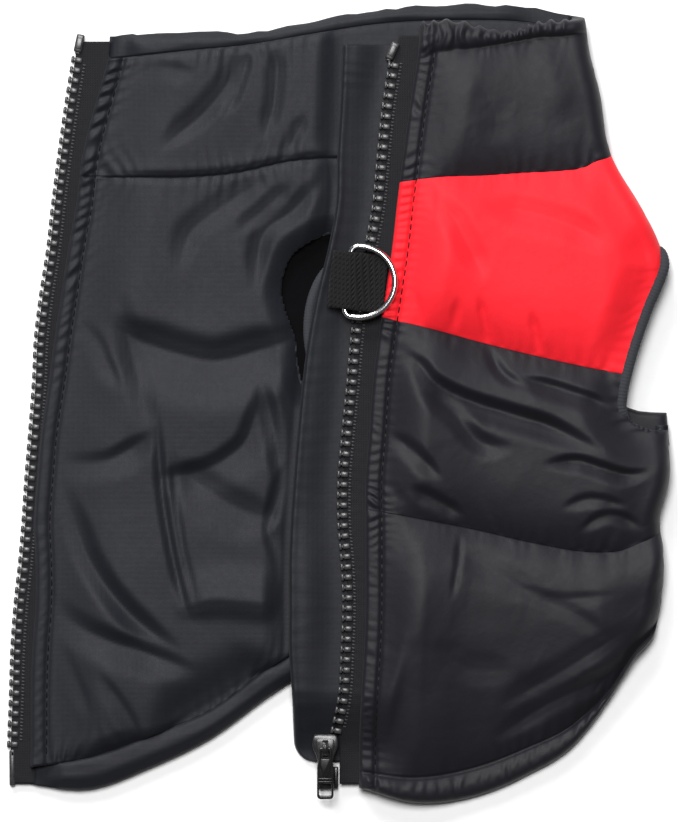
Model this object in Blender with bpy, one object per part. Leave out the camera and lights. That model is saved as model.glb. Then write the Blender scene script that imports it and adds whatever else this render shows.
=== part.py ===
"""Small dog's padded winter coat, unzipped along the back and laid out flat.

The left half lies open with its lining up. The right half is folded over it at the
right-hand edge, outer shell up. +Y points to the neck and +Z up from the surface.
Tables are in millimetres; every mesh is in metres.
"""
import math
from typing import NamedTuple

import bmesh
import bpy
import numpy as np
from mathutils import Matrix, Vector

MM = 0.001
SEAM_GAP = 0.3             # clearance between neighbouring pieces

# Thicknesses and heights of the layers, from the surface up
SHELL_WALL = 3.2           # wadded shell of the lower layer
ZIP_EDGE_WALL = 0.9        # shell thinned where the left zip tape is sewn in
ZIP_EDGE_LINING = 2.3      # underside of the lining over that tape
LINING_UNDER = 3.5         # underside of the lining
LINING_TOP = 6.4           # quiet height of the lining
LAYER_GAP = 0.5            # upper layer above the lining
FLAP_WALL = 1.2
TAPE_WALL = 0.8
TAPE_LIFT = 0.7            # tape above the teeth's underside
TEETH_WALL = 2.4
SEAM_WALL = 3.2            # upper layer where it is sewn flat
PUFF_RISE = 6.2            # how far the wadding swells above the seams
CASING_WALL = 2.6          # gathered zip casing
TURNED_SWELL = 2.8         # elasticated neck and hem edges of the lower layer
FOLD_RADIUS = 5.5          # rounded right-hand fold
FOLD_INNER_RADIUS = 1.6
DRAPE = 22.0               # run in which the upper layer comes down to the surface

# Bands along the edges
ZIP_BAND = 6.5             # casing between the cloth edge and its stitch line
TAPE_TUCK = 3.2            # zip tape under the cloth edge
FLAP_TUCK = 8.0            # wind flap under the upper layer
FLAP_COLUMNS = 3


class Section(NamedTuple):
    """Where the coat's long edges lie at one distance along the back."""
    y: float
    left_teeth: float
    left_cloth: float
    flap: float
    right_teeth: float
    right_cloth: float
    fold: float


SECTIONS = (
    Section(128.5, -80.5, -73.5, 1.5, 20.5, 26.5, 78.0),
    Section(110.0, -83.0, -74.5, 1.0, 17.5, 25.0, 81.0),
    Section(97.5, -85.0, -78.0, 0.5, 15.5, 23.0, 84.0),
    Section(79.5, -87.5, -82.5, -0.5, 13.5, 20.5, 87.5),
    Section(63.5, -89.5, -84.5, -1.0, 12.0, 18.5, 96.5),
    Section(50.0, -91.0, -87.0, -3.5, 9.5, 17.0, 103.0),
    Section(33.5, -93.5, -89.5, -7.5, 6.5, 14.5, 105.5),
    Section(20.5, -95.0, -91.5, -10.0, 5.0, 12.5, 105.5),
    Section(9.0, -95.5, -93.0, -11.5, 4.0, 11.0, 105.5),
    Section(-11.5, -97.0, -96.0, -13.5, 2.0, 9.5, 105.5),
    Section(-23.5, -98.0, -97.0, -14.5, 1.0, 8.5, 106.0),
    Section(-38.5, -99.0, -98.0, -15.5, 1.0, 8.5, 102.5),
    Section(-50.5, -100.0, -97.5, -16.0, 2.0, 8.5, 105.0),
    Section(-64.5, -101.5, -97.5, -16.0, 2.5, 8.5, 103.0),
    Section(-78.5, -102.5, -98.5, -16.0, 2.0, 8.0, 101.0),
    Section(-94.5, -103.0, -99.0, -15.0, 1.0, 7.0, 100.0),
    Section(-107.5, -103.5, -99.0, -14.5, -1.5, 6.5, 100.0),
    Section(-128.5, -104.0, -99.5, -12.5, -2.0, 6.5, 100.0),
)


class Seams(NamedTuple):
    """Heights along the back of the cross seams, at one share of the way from zip to fold."""
    share: float
    neck_edge: float
    neck_stitch: float
    collar: float
    yoke: float
    body: float
    hem_stitch: float
    hem_edge: float


UPPER_SEAMS = (
    Seams(0.0, 121.5, 111.5, 71.0, 27.8, -33.5, -118.0, -123.0),
    Seams(0.2, 122.5, 113.0, 72.5, 23.8, -36.8, -120.0, -127.8),
    Seams(0.4, 120.5, 114.0, 73.0, 19.2, -40.3, -117.4, -126.4),
    Seams(0.6, 119.0, 115.8, 73.9, 15.0, -44.5, -111.0, -119.6),
    Seams(0.8, 122.0, 117.4, 74.6, 11.2, -47.4, -101.6, -108.0),
    Seams(0.9, 122.5, 117.6, 75.4, 9.6, -47.0, -92.8, -96.4),
    Seams(1.0, 122.5, 118.0, 77.8, 9.0, -43.8, -78.6, -81.0),
)
LOWER_SEAMS = (
    Seams(0.0, 118.0, 110.5, 73.0, 28.0, -34.0, -116.5, -122.0),
    Seams(0.1, 119.0, 112.0, 73.0, 24.5, -38.0, -113.5, -123.5),
    Seams(0.2, 119.5, 113.5, 73.0, 20.5, -42.0, -106.5, -116.5),
    Seams(0.3, 119.0, 115.0, 74.5, 15.5, -45.0, -98.5, -107.0),
    Seams(0.4, 121.5, 117.5, 78.0, 11.0, -46.5, -84.0, -93.0),
    Seams(0.6, 126.5, 122.0, 79.5, 9.0, -42.0, -64.5, -71.5),
    Seams(0.75, 128.0, 123.0, 80.2, 9.0, -39.5, -59.0, -65.5),
    Seams(0.9, 127.5, 122.5, 81.2, 9.0, -38.0, -58.0, -63.5),
    Seams(1.0, 125.0, 120.5, 82.2, 9.0, -36.5, -58.5, -62.0),
)


class Row(NamedTuple):
    """One line of points across a panel: between two seams, with the swell it has there."""
    low: str
    high: str
    share: float
    swell: float


PANELS = {
    "shell_collar": (
        Row("collar", "neck_stitch", 0.0, 0.0),
        Row("collar", "neck_stitch", 0.22, 0.62),
        Row("collar", "neck_stitch", 0.5, 0.85),
        Row("collar", "neck_stitch", 0.8, 0.5),
        Row("collar", "neck_stitch", 1.0, 0.08),
        Row("neck_stitch", "neck_edge", 0.5, 0.3),
        Row("neck_stitch", "neck_edge", 1.0, -0.12),
    ),
    "shell_yoke": (
        Row("yoke", "collar", 0.0, 0.0),
        Row("yoke", "collar", 0.14, 0.62),
        Row("yoke", "collar", 0.38, 1.0),
        Row("yoke", "collar", 0.65, 0.95),
        Row("yoke", "collar", 0.88, 0.5),
        Row("yoke", "collar", 1.0, 0.0),
    ),
    "shell_upper": (
        Row("body", "yoke", 0.0, 0.0),
        Row("body", "yoke", 0.12, 0.65),
        Row("body", "yoke", 0.35, 1.0),
        Row("body", "yoke", 0.66, 1.0),
        Row("body", "yoke", 0.88, 0.6),
        Row("body", "yoke", 1.0, 0.0),
    ),
    "shell_lower": (
        Row("hem_edge", "hem_stitch", 0.0, -0.12),
        Row("hem_edge", "hem_stitch", 0.5, 0.35),
        Row("hem_edge", "hem_stitch", 1.0, 0.08),
        Row("hem_stitch", "body", 0.1, 0.6),
        Row("hem_stitch", "body", 0.2, 0.85),
        Row("hem_stitch", "body", 0.3, 1.0),
        Row("hem_stitch", "body", 0.4, 1.0),
        Row("hem_stitch", "body", 0.5, 1.0),
        Row("hem_stitch", "body", 0.62, 1.0),
        Row("hem_stitch", "body", 0.76, 0.9),
        Row("hem_stitch", "body", 0.91, 0.55),
        Row("hem_stitch", "body", 1.0, 0.0),
    ),
}
LINING_PANELS = {
    "lining_collar": (
        Row("collar", "neck_stitch", 0.0, 0.0),
        Row("collar", "neck_stitch", 0.35, 0.5),
        Row("collar", "neck_stitch", 0.7, 0.5),
        Row("collar", "neck_stitch", 0.97, 0.0),
    ),
    "lining_body": (
        Row("hem_stitch", "collar", 0.008, 0.0),
        Row("hem_stitch", "collar", 0.07, 0.6),
        Row("hem_stitch", "collar", 0.17, 1.0),
        Row("hem_stitch", "collar", 0.27, 1.0),
        Row("hem_stitch", "collar", 0.37, 1.0),
        Row("hem_stitch", "collar", 0.46, 1.0),
        Row("hem_stitch", "collar", 0.55, 1.0),
        Row("hem_stitch", "collar", 0.63, 1.0),
        Row("hem_stitch", "collar", 0.71, 1.0),
        Row("hem_stitch", "collar", 0.8, 1.0),
        Row("hem_stitch", "collar", 0.92, 0.8),
        Row("hem_stitch", "collar", 1.0, 0.0),
    ),
}


class Fold(NamedTuple):
    """A soft trough (depth above 0) or ridge (below 0) along a straight line."""
    x0: float
    y0: float
    x1: float
    y1: float
    depth: float
    width: float


SHELL_FOLDS = (
    Fold(17.0, 18.0, 36.0, 4.0, 2.2, 5.0),
    Fold(36.0, 4.0, 84.0, -15.0, 2.4, 5.0),
    Fold(57.0, 9.0, 90.0, -4.0, 1.5, 4.5),
    Fold(65.0, -19.5, 99.0, -22.0, 2.0, 4.5),
    Fold(72.0, -33.0, 96.0, -32.0, 1.6, 4.0),
    Fold(14.0, -10.0, 32.0, -23.0, 1.6, 4.5),
    Fold(35.0, 59.0, 47.0, 44.0, 1.4, 6.0),
)
LINING_FOLDS = (
    Fold(-60.0, 20.0, -10.0, 22.0, 2.3, 6.5),
    Fold(-83.0, -27.0, -57.0, -68.0, 2.0, 5.5),
    Fold(-56.0, -12.0, -47.0, -64.0, 1.8, 5.0),
    Fold(-36.0, 117.0, -50.0, 88.0, 1.7, 5.5),
    Fold(-21.0, 115.0, -26.0, 86.0, 1.7, 5.5),
    Fold(-33.0, 68.0, -50.0, 52.0, 1.6, 5.5),
    Fold(-20.0, 66.0, -29.0, 34.0, 1.8, 5.5),
    Fold(-76.0, -68.0, -22.0, -58.0, 1.7, 8.0),
    Fold(-20.0, -22.0, -26.0, -44.0, 1.6, 5.0),
    Fold(-88.0, -17.0, -62.0, -12.0, 1.5, 5.0),
    Fold(-68.0, 60.0, -60.0, 30.0, -1.3, 9.0),
    Fold(-72.0, -40.0, -66.0, 5.0, -1.2, 9.0),
    Fold(-38.0, -30.0, -34.0, 8.0, -1.3, 9.0),
)


class ArmholePoint(NamedTuple):
    """Centre of the bound edge of the right armhole, over the fold and under it."""
    x: float
    y: float
    z: float


ARMHOLE = (
    ArmholePoint(103.3, 48.5, 6.3),
    ArmholePoint(104.1, 44.0, 9.0),
    ArmholePoint(101.8, 37.5, 9.6),
    ArmholePoint(99.0, 31.0, 9.6),
    ArmholePoint(95.6, 21.5, 9.6),
    ArmholePoint(93.0, 13.0, 9.6),
    ArmholePoint(91.0, 4.5, 9.6),
    ArmholePoint(90.6, -2.0, 9.2),
    ArmholePoint(93.5, -5.7, 8.6),
    ArmholePoint(98.5, -8.2, 7.4),
    ArmholePoint(102.6, -8.6, 5.6),
    ArmholePoint(102.2, -6.4, 3.4),
    ArmholePoint(96.5, -4.4, 2.1),
    ArmholePoint(88.5, 0.5, 2.0),
    ArmholePoint(83.0, 9.0, 2.0),
    ArmholePoint(82.0, 20.0, 2.0),
    ArmholePoint(86.5, 33.0, 2.0),
    ArmholePoint(95.0, 43.5, 2.1),
    ArmholePoint(101.2, 48.2, 3.6),
)
ARMHOLE_PARTS = 2                # points of its smooth line for each row above
ARMHOLE_NEAR = slice(0, 21)      # stretch of that line on the upper layer
ARMHOLE_FAR = slice(22, 37)      # stretch on the lower layer
BINDING_RADIUS = 1.6
LEFT_ARMHOLE_CENTRE = (2.5, 24.0)
LEFT_ARMHOLE_RADII = (16.5, 26.5)
PINCH_RUN = 14.0                 # how far from an armhole the wadding starts to swell

# Zip hardware
TEETH_WIDTH = 3.0
TOP_STOP = (2.6, 5.8, 3.0)
SLIDER_PLACE = (-4.4, -110.5)
SLIDER_SIZE = (8.3, 9.0)
SLIDER_PLATE = 1.0
SLIDER_CHANNEL = 2.9
PULL_WIDTH = 5.3
PULL_LENGTH = 16.3
PULL_WALL = 1.2
PULL_SLOPE = 10.0                # degrees that the pull tab leans down at rest
PULL_PIN_RISE = 1.7              # its pin above the slider's upper plate
BRIDGE_HALF_WIDTH = 0.95
ZIP_BOX = (5.6, 7.2, 2.9)
ZIP_BOX_PLACE = (-4.0, -120.2)
PIN_SIZE = (2.2, 11.5, 2.0)
PIN_PLACE = (-105.0, -117.0)

# Webbing loop and D-ring
RING_PIVOT = (2.9, 39.4, 13.7)   # centre of the ring's straight bar
RING_TURN = -6.5                 # degrees about Z
RING_TILT = 8.5                  # degrees that the ring rises towards its bow
RING_HALF_WIDTH = 11.3
RING_DEPTH = 15.2
RING_WIRE = 1.0
RING_CORNER = 2.4
WEBBING_WIDTH = 18.4
WEBBING_WALL = 1.2


class WebbingPoint(NamedTuple):
    """Middle of the webbing's thickness, across the ring's bar."""
    x: float
    z: float


WEBBING_PATH = (
    WebbingPoint(12.0, -1.95),
    WebbingPoint(6.0, -1.95),
    WebbingPoint(0.0, -1.95),
    WebbingPoint(-3.6, -1.75),
    WebbingPoint(-4.9, -1.3),
    WebbingPoint(-5.4, -0.4),
    WebbingPoint(-4.8, 0.45),
    WebbingPoint(-3.2, 1.0),
    WebbingPoint(-1.2, 1.75),
    WebbingPoint(0.4, 1.95),
    WebbingPoint(2.2, 1.6),
    WebbingPoint(5.5, 0.3),
    WebbingPoint(8.5, -0.4),
    WebbingPoint(12.0, -0.45),
)

# Stations across the coat: shares from the zip to the fold
UPPER_SHARES = (0.0, 0.035, 0.075, 0.15, 0.26, 0.38, 0.5, 0.62, 0.74, 0.86, 0.94, 1.0)
LOWER_SHARES = (0.0, 0.028, 0.05, 0.09, 0.2, 0.3, 0.4, 0.5, 0.6, 0.75, 0.9, 1.0)
LINING_SHARES = (0.0, 0.028, 0.05, 0.08, 0.13, 0.19, 0.25, 0.31, 0.37, 0.43, 0.5, 0.6, 0.72, 0.84, 0.95)
FOLD_STEPS = 5

MATERIALS = {                    # colour, roughness, metallic
    "black_shell": ((0.018, 0.017, 0.019), 0.45, 0.0),
    "red_shell": ((0.74, 0.016, 0.028), 0.45, 0.0),
    "lining": ((0.035, 0.037, 0.040), 0.6, 0.0),
    "grey_binding": ((0.045, 0.052, 0.063), 0.85, 0.0),
    "zip_tape": ((0.012, 0.012, 0.013), 0.8, 0.0),
    "zip_plastic": ((0.03, 0.03, 0.032), 0.35, 0.0),
    "webbing": ((0.014, 0.014, 0.015), 0.75, 0.0),
    "ring_metal": ((0.78, 0.78, 0.80), 0.18, 1.0),
}


# ---------------------------------------------------------------- tables to curves
def column(table, name):
    return np.array([getattr(row, name) for row in table])


def smooth(keys, values, key):
    """Value of a smooth line through a table's rows; keys rise."""
    key = min(max(key, keys[0]), keys[-1])
    i = int(np.clip(np.searchsorted(keys, key) - 1, 0, len(keys) - 2))
    slopes = np.gradient(values, keys)
    span = keys[i + 1] - keys[i]
    t = (key - keys[i]) / span
    h00 = (1 + 2 * t) * (1 - t) ** 2
    h10 = t * (1 - t) ** 2
    h01 = t * t * (3 - 2 * t)
    h11 = t * t * (t - 1)
    return (h00 * values[i] + h10 * span * slopes[i]
            + h01 * values[i + 1] + h11 * span * slopes[i + 1])


def edge_x(name, y):
    """X of one of the coat's long edges at y."""
    rows = SECTIONS[::-1]
    return smooth(column(rows, "y"), column(rows, name), y)


def seam_y(table, name, share):
    return smooth(column(table, "share"), column(table, name), share)


def ease(t):
    """Smooth step from 0 to 1."""
    t = min(max(t, 0.0), 1.0)
    return t * t * (3 - 2 * t)


# ---------------------------------------------------------------- heights
def fold_depth(folds, x, y):
    """How far the folds press the cloth down at a point."""
    depth = 0.0
    for fold in folds:
        run = np.array([fold.x1 - fold.x0, fold.y1 - fold.y0])
        offset = np.array([x - fold.x0, y - fold.y0])
        along = float(np.clip(offset @ run / (run @ run), 0.0, 1.0))
        away = np.linalg.norm(offset - along * run)
        taper = ease(min(along, 1 - along) * 5 + 0.35)
        depth += fold.depth * taper * math.exp(-(away / fold.width) ** 2)
    return depth


def outline_distance(points, x, y):
    """Distance from a point to a closed outline."""
    ends = np.roll(points, -1, axis=0)
    runs = ends - points
    offset = np.array([x, y]) - points
    along = np.clip((offset * runs).sum(1) / (runs * runs).sum(1), 0.0, 1.0)
    return float(np.linalg.norm(offset - along[:, None] * runs, axis=1).min())


def armhole_outline(part):
    return np.array([(x, y) for x, y, z in armhole_line()[part]])


def left_armhole_outline(grow=0.0, count=28):
    """Ellipse of the left armhole, which lies open in the lower layer."""
    cx, cy = LEFT_ARMHOLE_CENTRE
    rx, ry = LEFT_ARMHOLE_RADII
    turns = np.arange(count) * 2 * math.pi / count
    return np.stack([cx + (rx + grow) * np.cos(turns), cy + (ry + grow) * np.sin(turns)], axis=1)


def underlay(x, y):
    """Height of what the upper layer lies on: the lining, or the surface beyond the hem.

    It is level across the zip, from the wind flap's edge to where the flap is sewn in.
    """
    flap = edge_x("flap", y) - 2.0
    x = flap + (x - flap) * ease((x - edge_x("right_cloth", y) - FLAP_TUCK) / 14.0)
    left = edge_x("left_cloth", y)
    share = (x - left) / (edge_x("fold", y) - left)
    inside = y - seam_y(LOWER_SEAMS, "hem_edge", share)
    return LINING_TOP * ease((inside + DRAPE) / DRAPE)


def zip_stack(share_x):
    """Extra height over the wind flap and zip tape, gone past the flap's sewn edge."""
    return (FLAP_WALL + 2 * SEAM_GAP + TAPE_WALL + TAPE_LIFT + SEAM_GAP) * (1 - ease((share_x - ZIP_BAND) / 6.0))


def upper_floor(x, y):
    """Underside of the upper layer."""
    height = underlay(x, y)
    lift = LAYER_GAP * height / LINING_TOP
    return height + lift + zip_stack(x - edge_x("right_cloth", y))


def upper_top(x, y, swell, share):
    """Outer surface of the upper layer."""
    from_edge = x - edge_x("right_cloth", y)
    wall = CASING_WALL + (SEAM_WALL - CASING_WALL) * ease(from_edge / 10.0)
    rise = PUFF_RISE * swell * ease((from_edge - 4.0) / 16.0)
    rise *= 1.0 - 0.42 * ease((share - 0.82) / 0.18)
    rise *= ease(outline_distance(armhole_outline(ARMHOLE_NEAR), x, y) / PINCH_RUN)
    fold = fold_depth(SHELL_FOLDS, x, y) * min(1.0, rise / 4.0)
    return upper_floor(x, y) + wall + rise - fold


def lining_top(x, y, swell):
    """Upper side of the lining, with its folds where it shows."""
    shows = 1 - ease((x - edge_x("flap", y) + 18.0) / 14.0)
    from_edge = x - edge_x("left_cloth", y)
    casing = 1.2 * math.exp(-((from_edge - 2.6) / 2.0) ** 2)
    body = 4.7 + 1.7 * swell * ease((from_edge - 3.0) / 14.0)
    relief = 1.1 * swell - fold_depth(LINING_FOLDS, x, y)
    height = body + shows * (relief * ease((from_edge - 4.0) / 10.0) + casing)
    return min(max(height, 4.6), LINING_TOP + 1.5 * shows)


# ---------------------------------------------------------------- meshes
def material(name):
    made = bpy.data.materials.get(name)
    if made:
        return made
    colour, roughness, metallic = MATERIALS[name]
    made = bpy.data.materials.new(name)
    made.use_nodes = True
    shader = made.node_tree.nodes["Principled BSDF"]
    shader.inputs["Base Color"].default_value = (*colour, 1.0)
    shader.inputs["Roughness"].default_value = roughness
    shader.inputs["Metallic"].default_value = metallic
    return made


def add_object(name, mesh, finish, collection, smooth_faces=True):
    mesh.materials.clear()
    mesh.materials.append(material(finish))
    if smooth_faces:
        mesh.shade_smooth()
        mesh.set_sharp_from_angle(angle=math.radians(40))
    made = bpy.data.objects.new(name, mesh)
    collection.objects.link(made)
    return made


def mesh_from(bm, name):
    bmesh.ops.recalc_face_normals(bm, faces=bm.faces)
    mesh = bpy.data.meshes.new(name)
    bm.to_mesh(mesh)
    bm.free()
    return mesh


def closed_sheet(name, outer, inner, finish, collection):
    """A wall between two grids of points in millimetres, closed round its border."""
    rows, columns = len(outer), len(outer[0])
    bm = bmesh.new()
    sides = [[[bm.verts.new(Vector(point) * MM) for point in row] for row in grid]
             for grid in (outer, inner)]
    for grid in sides:
        for r in range(rows - 1):
            for c in range(columns - 1):
                bm.faces.new((grid[r][c], grid[r][c + 1], grid[r + 1][c + 1], grid[r + 1][c]))
    border = [(0, c) for c in range(columns)]
    border += [(r, columns - 1) for r in range(1, rows)]
    border += [(rows - 1, c) for c in range(columns - 2, -1, -1)]
    border += [(r, 0) for r in range(rows - 2, 0, -1)]
    for (r0, c0), (r1, c1) in zip(border, border[1:] + border[:1]):
        bm.faces.new((sides[0][r0][c0], sides[0][r1][c1], sides[1][r1][c1], sides[1][r0][c0]))
    return add_object(name, mesh_from(bm, name), finish, collection)


def row_y(table, row, share):
    low = seam_y(table, row.low, share) + SEAM_GAP / 2
    high = seam_y(table, row.high, share) - SEAM_GAP / 2
    return low + (high - low) * row.share


def zip_edge_thinning(from_edge):
    """1 where the left zip tape is sewn between shell and lining, 0 further in."""
    return ease((ZIP_BAND + 3.0 - from_edge) / 3.8)


def shell_row(row):
    """Outer and inner points of one row, from the right zip over the fold to the left zip."""
    outer = []
    inner = []
    for share in UPPER_SHARES:
        y = row_y(UPPER_SEAMS, row, share)
        x = edge_x("right_cloth", y)
        x += (edge_x("fold", y) - FOLD_RADIUS - x) * share
        outer.append((x, y, upper_top(x, y, row.swell, share)))
        inner.append((x, y, upper_floor(x, y)))
    upper_y = row_y(UPPER_SEAMS, row, 1.0)
    lower_y = row_y(LOWER_SEAMS, row, 1.0)
    upper_x = edge_x("fold", upper_y) - FOLD_RADIUS
    lower_x = edge_x("fold", lower_y) - FOLD_RADIUS
    top = outer[-1][2]
    inner_top = inner[-1][2]
    for step in range(1, FOLD_STEPS):
        turn = math.pi * (0.5 - step / FOLD_STEPS)
        y = upper_y + (lower_y - upper_y) * step / FOLD_STEPS
        bend_x = upper_x + (lower_x - upper_x) * step / FOLD_STEPS
        outer.append((bend_x + FOLD_RADIUS * math.cos(turn), y, top / 2 * (1 + math.sin(turn))))
        middle = (inner_top + SHELL_WALL) / 2
        half = (inner_top - SHELL_WALL) / 2
        inner.append((bend_x + FOLD_INNER_RADIUS * math.cos(turn), y, middle + half * math.sin(turn)))
    for share in reversed(LOWER_SHARES):
        y = row_y(LOWER_SEAMS, row, share)
        x = edge_x("left_cloth", y)
        x += (edge_x("fold", y) - FOLD_RADIUS - x) * share
        thin = zip_edge_thinning(x - edge_x("left_cloth", y))
        wall = SHELL_WALL - (SHELL_WALL - ZIP_EDGE_WALL) * thin
        turned = "neck_edge" in (row.low, row.high) or "hem_edge" in (row.low, row.high)
        casing_swell = TURNED_SWELL * ease((row.swell - 0.1) / 0.2) if turned else 0.0
        outer.append((x, y, 0.0))
        swell_here = casing_swell * (1 - thin) * (1 - ease((share - 0.85) / 0.1))
        inner.append((x, y, wall + swell_here))
    return outer, inner


def build_shell(name, finish, collection):
    pairs = [shell_row(row) for row in PANELS[name]]
    outer = [pair[0] for pair in pairs]
    inner = [pair[1] for pair in pairs]
    return closed_sheet(name, outer, inner, finish, collection)


def build_lining(name, collection):
    top = []
    under = []
    for row in LINING_PANELS[name]:
        top_row = []
        under_row = []
        for share in LINING_SHARES:
            y = row_y(LOWER_SEAMS, row, share)
            left = edge_x("left_cloth", y)
            x = left + (edge_x("fold", y) - FOLD_RADIUS - left) * share
            thin = zip_edge_thinning(x - left)
            lift = LINING_UNDER - (LINING_UNDER - ZIP_EDGE_LINING) * thin
            top_row.append((x, y, lining_top(x, y, row.swell)))
            under_row.append((x, y, lift))
        top.append(top_row)
        under.append(under_row)
    return closed_sheet(name, top, under, "lining", collection)


def strip(name, edges, low, high, finish, collection):
    """A strip along the back between x0 and x1 at each y, low and high give its heights."""
    top = [[(x0, y, high(x0, y)), (x1, y, high(x1, y))] for x0, x1, y in edges]
    under = [[(x0, y, low(x0, y)), (x1, y, low(x1, y))] for x0, x1, y in edges]
    return closed_sheet(name, top, under, finish, collection)


def zip_rows(start, stop):
    """Distances along the zip, shared by all that lies along it."""
    between = [y for y in np.arange(120.0, -128.0, -8.0) if stop + 1 < y < start - 1]
    return [start, *between, stop]


def rounded_loop(points, parts):
    """A closed smooth line through points, with the given number of parts between each two."""
    points = np.array(points)
    count = len(points)
    line = []
    for i in range(count):
        p0, p1, p2, p3 = (points[(i + k) % count] for k in (-1, 0, 1, 2))
        for part in range(parts):
            t = part / parts
            line.append(0.5 * (2 * p1 + (p2 - p0) * t + (2 * p0 - 5 * p1 + 4 * p2 - p3) * t ** 2
                               + (3 * p1 - p0 - 3 * p2 + p3) * t ** 3))
    return line


def armhole_line():
    """Centre of the right armhole's binding, all the way round."""
    return rounded_loop([(p.x, p.y, p.z) for p in ARMHOLE], ARMHOLE_PARTS)


# ---------------------------------------------------------------- cuts
def extrusion(name, outline, low, high, axis="Z"):
    """Mesh of a flat outline in millimetres, pushed along an axis from low to high."""
    order = {"X": (2, 0, 1), "Y": (0, 2, 1), "Z": (0, 1, 2)}[axis]
    bm = bmesh.new()
    verts = []
    for a, b in outline:
        place = (a, b, low)
        verts.append(bm.verts.new(Vector([place[k] for k in order]) * MM))
    face = bm.faces.new(verts)
    raised = bmesh.ops.extrude_face_region(bm, geom=[face])
    moved = [v for v in raised["geom"] if isinstance(v, bmesh.types.BMVert)]
    push = Vector([(0, 0, high - low)[k] for k in order]) * MM
    bmesh.ops.translate(bm, verts=moved, vec=push)
    return mesh_from(bm, name)


def helper(name, mesh, cutters):
    """A hidden object that cuts or joins another."""
    made = bpy.data.objects.new(name, mesh)
    made.hide_render = True
    made.display_type = "WIRE"
    cutters.objects.link(made)
    return made


def offset_outline(points, distance):
    """An open line of points moved to its right by a distance."""
    runs = np.gradient(points, axis=0)
    runs /= np.linalg.norm(runs, axis=1)[:, None]
    return points + distance * np.stack([runs[:, 1], -runs[:, 0]], axis=1)


def armhole_cutter(name, part, side, low, high, cutters):
    """Cutter for one layer of the right armhole, out past the fold and clear of its binding."""
    clear = BINDING_RADIUS + SEAM_GAP
    points = armhole_outline(part)
    cut = list(map(tuple, offset_outline(points, side * clear)[1:-1]))
    neck_end, tail_end = (points[0], points[-1]) if points[0][1] > points[-1][1] else (
        points[-1], points[0])
    heights = [y for x, y, z in armhole_line()]
    top_y = max(heights) + clear
    low_y = min(heights) - clear
    beyond = 120.0
    top = [(beyond, top_y), (neck_end[0] - clear, top_y)]
    bottom = [(tail_end[0] - clear, low_y), (beyond, low_y)]
    if side < 0:
        cut.reverse()
    return helper(name, extrusion(name, top + cut + bottom, low, high), cutters)


def combine(target, other, operation="DIFFERENCE"):
    modifier = target.modifiers.new(other.name, "BOOLEAN")
    modifier.operation = operation
    modifier.solver = "EXACT"
    modifier.object = other


def tube(name, points, radius, finish, collection, closed=True, resolution=2):
    """A round cord through points in millimetres."""
    data = bpy.data.curves.new(name, "CURVE")
    data.dimensions = "3D"
    data.bevel_depth = radius * MM
    data.bevel_resolution = resolution
    data.use_fill_caps = True
    spline = data.splines.new("POLY")
    spline.points.add(len(points) - 1)
    for target, point in zip(spline.points, points):
        target.co = (*(Vector(point) * MM), 1.0)
    spline.use_cyclic_u = closed
    data.materials.append(material(finish))
    made = bpy.data.objects.new(name, data)
    collection.objects.link(made)
    return made


# ---------------------------------------------------------------- zip
def zip_base(x, y):
    """Underside of what lies on the lower layer beside the right zip."""
    return underlay(x, y) + SEAM_GAP * underlay(x, y) / LINING_TOP


def flap_height(x, y):
    return zip_base(x, y) + FLAP_WALL


def build_flap(collection):
    edges = [(edge_x("flap", y), edge_x("right_cloth", y) + FLAP_TUCK, y)
             for y in zip_rows(115.0, -115.0)]
    top = []
    under = []
    for x0, x1, y in edges:
        line = np.linspace(x0, x1, FLAP_COLUMNS)
        top.append([(x, y, flap_height(x, y)) for x in line])
        under.append([(x, y, zip_base(x, y)) for x in line])
    return closed_sheet("wind_flap", top, under, "lining", collection)


def teeth_low(x, y):
    return flap_height(x, y) + SEAM_GAP


def box_piece(name, size, place, finish, collection, bevel=0.3, turn=0.0):
    """A block with softened edges, its middle at place (millimetres)."""
    bm = bmesh.new()
    bmesh.ops.create_cube(bm, size=1.0)
    bmesh.ops.scale(bm, vec=Vector(size) * MM, verts=bm.verts)
    bmesh.ops.bevel(bm, geom=bm.edges[:], offset=bevel * MM, segments=1, affect="EDGES")
    bmesh.ops.rotate(bm, matrix=Matrix.Rotation(math.radians(turn), 3, "Z"), verts=bm.verts)
    bmesh.ops.translate(bm, vec=Vector(place) * MM, verts=bm.verts)
    return add_object(name, mesh_from(bm, name), finish, collection, smooth_faces=False)


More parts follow.
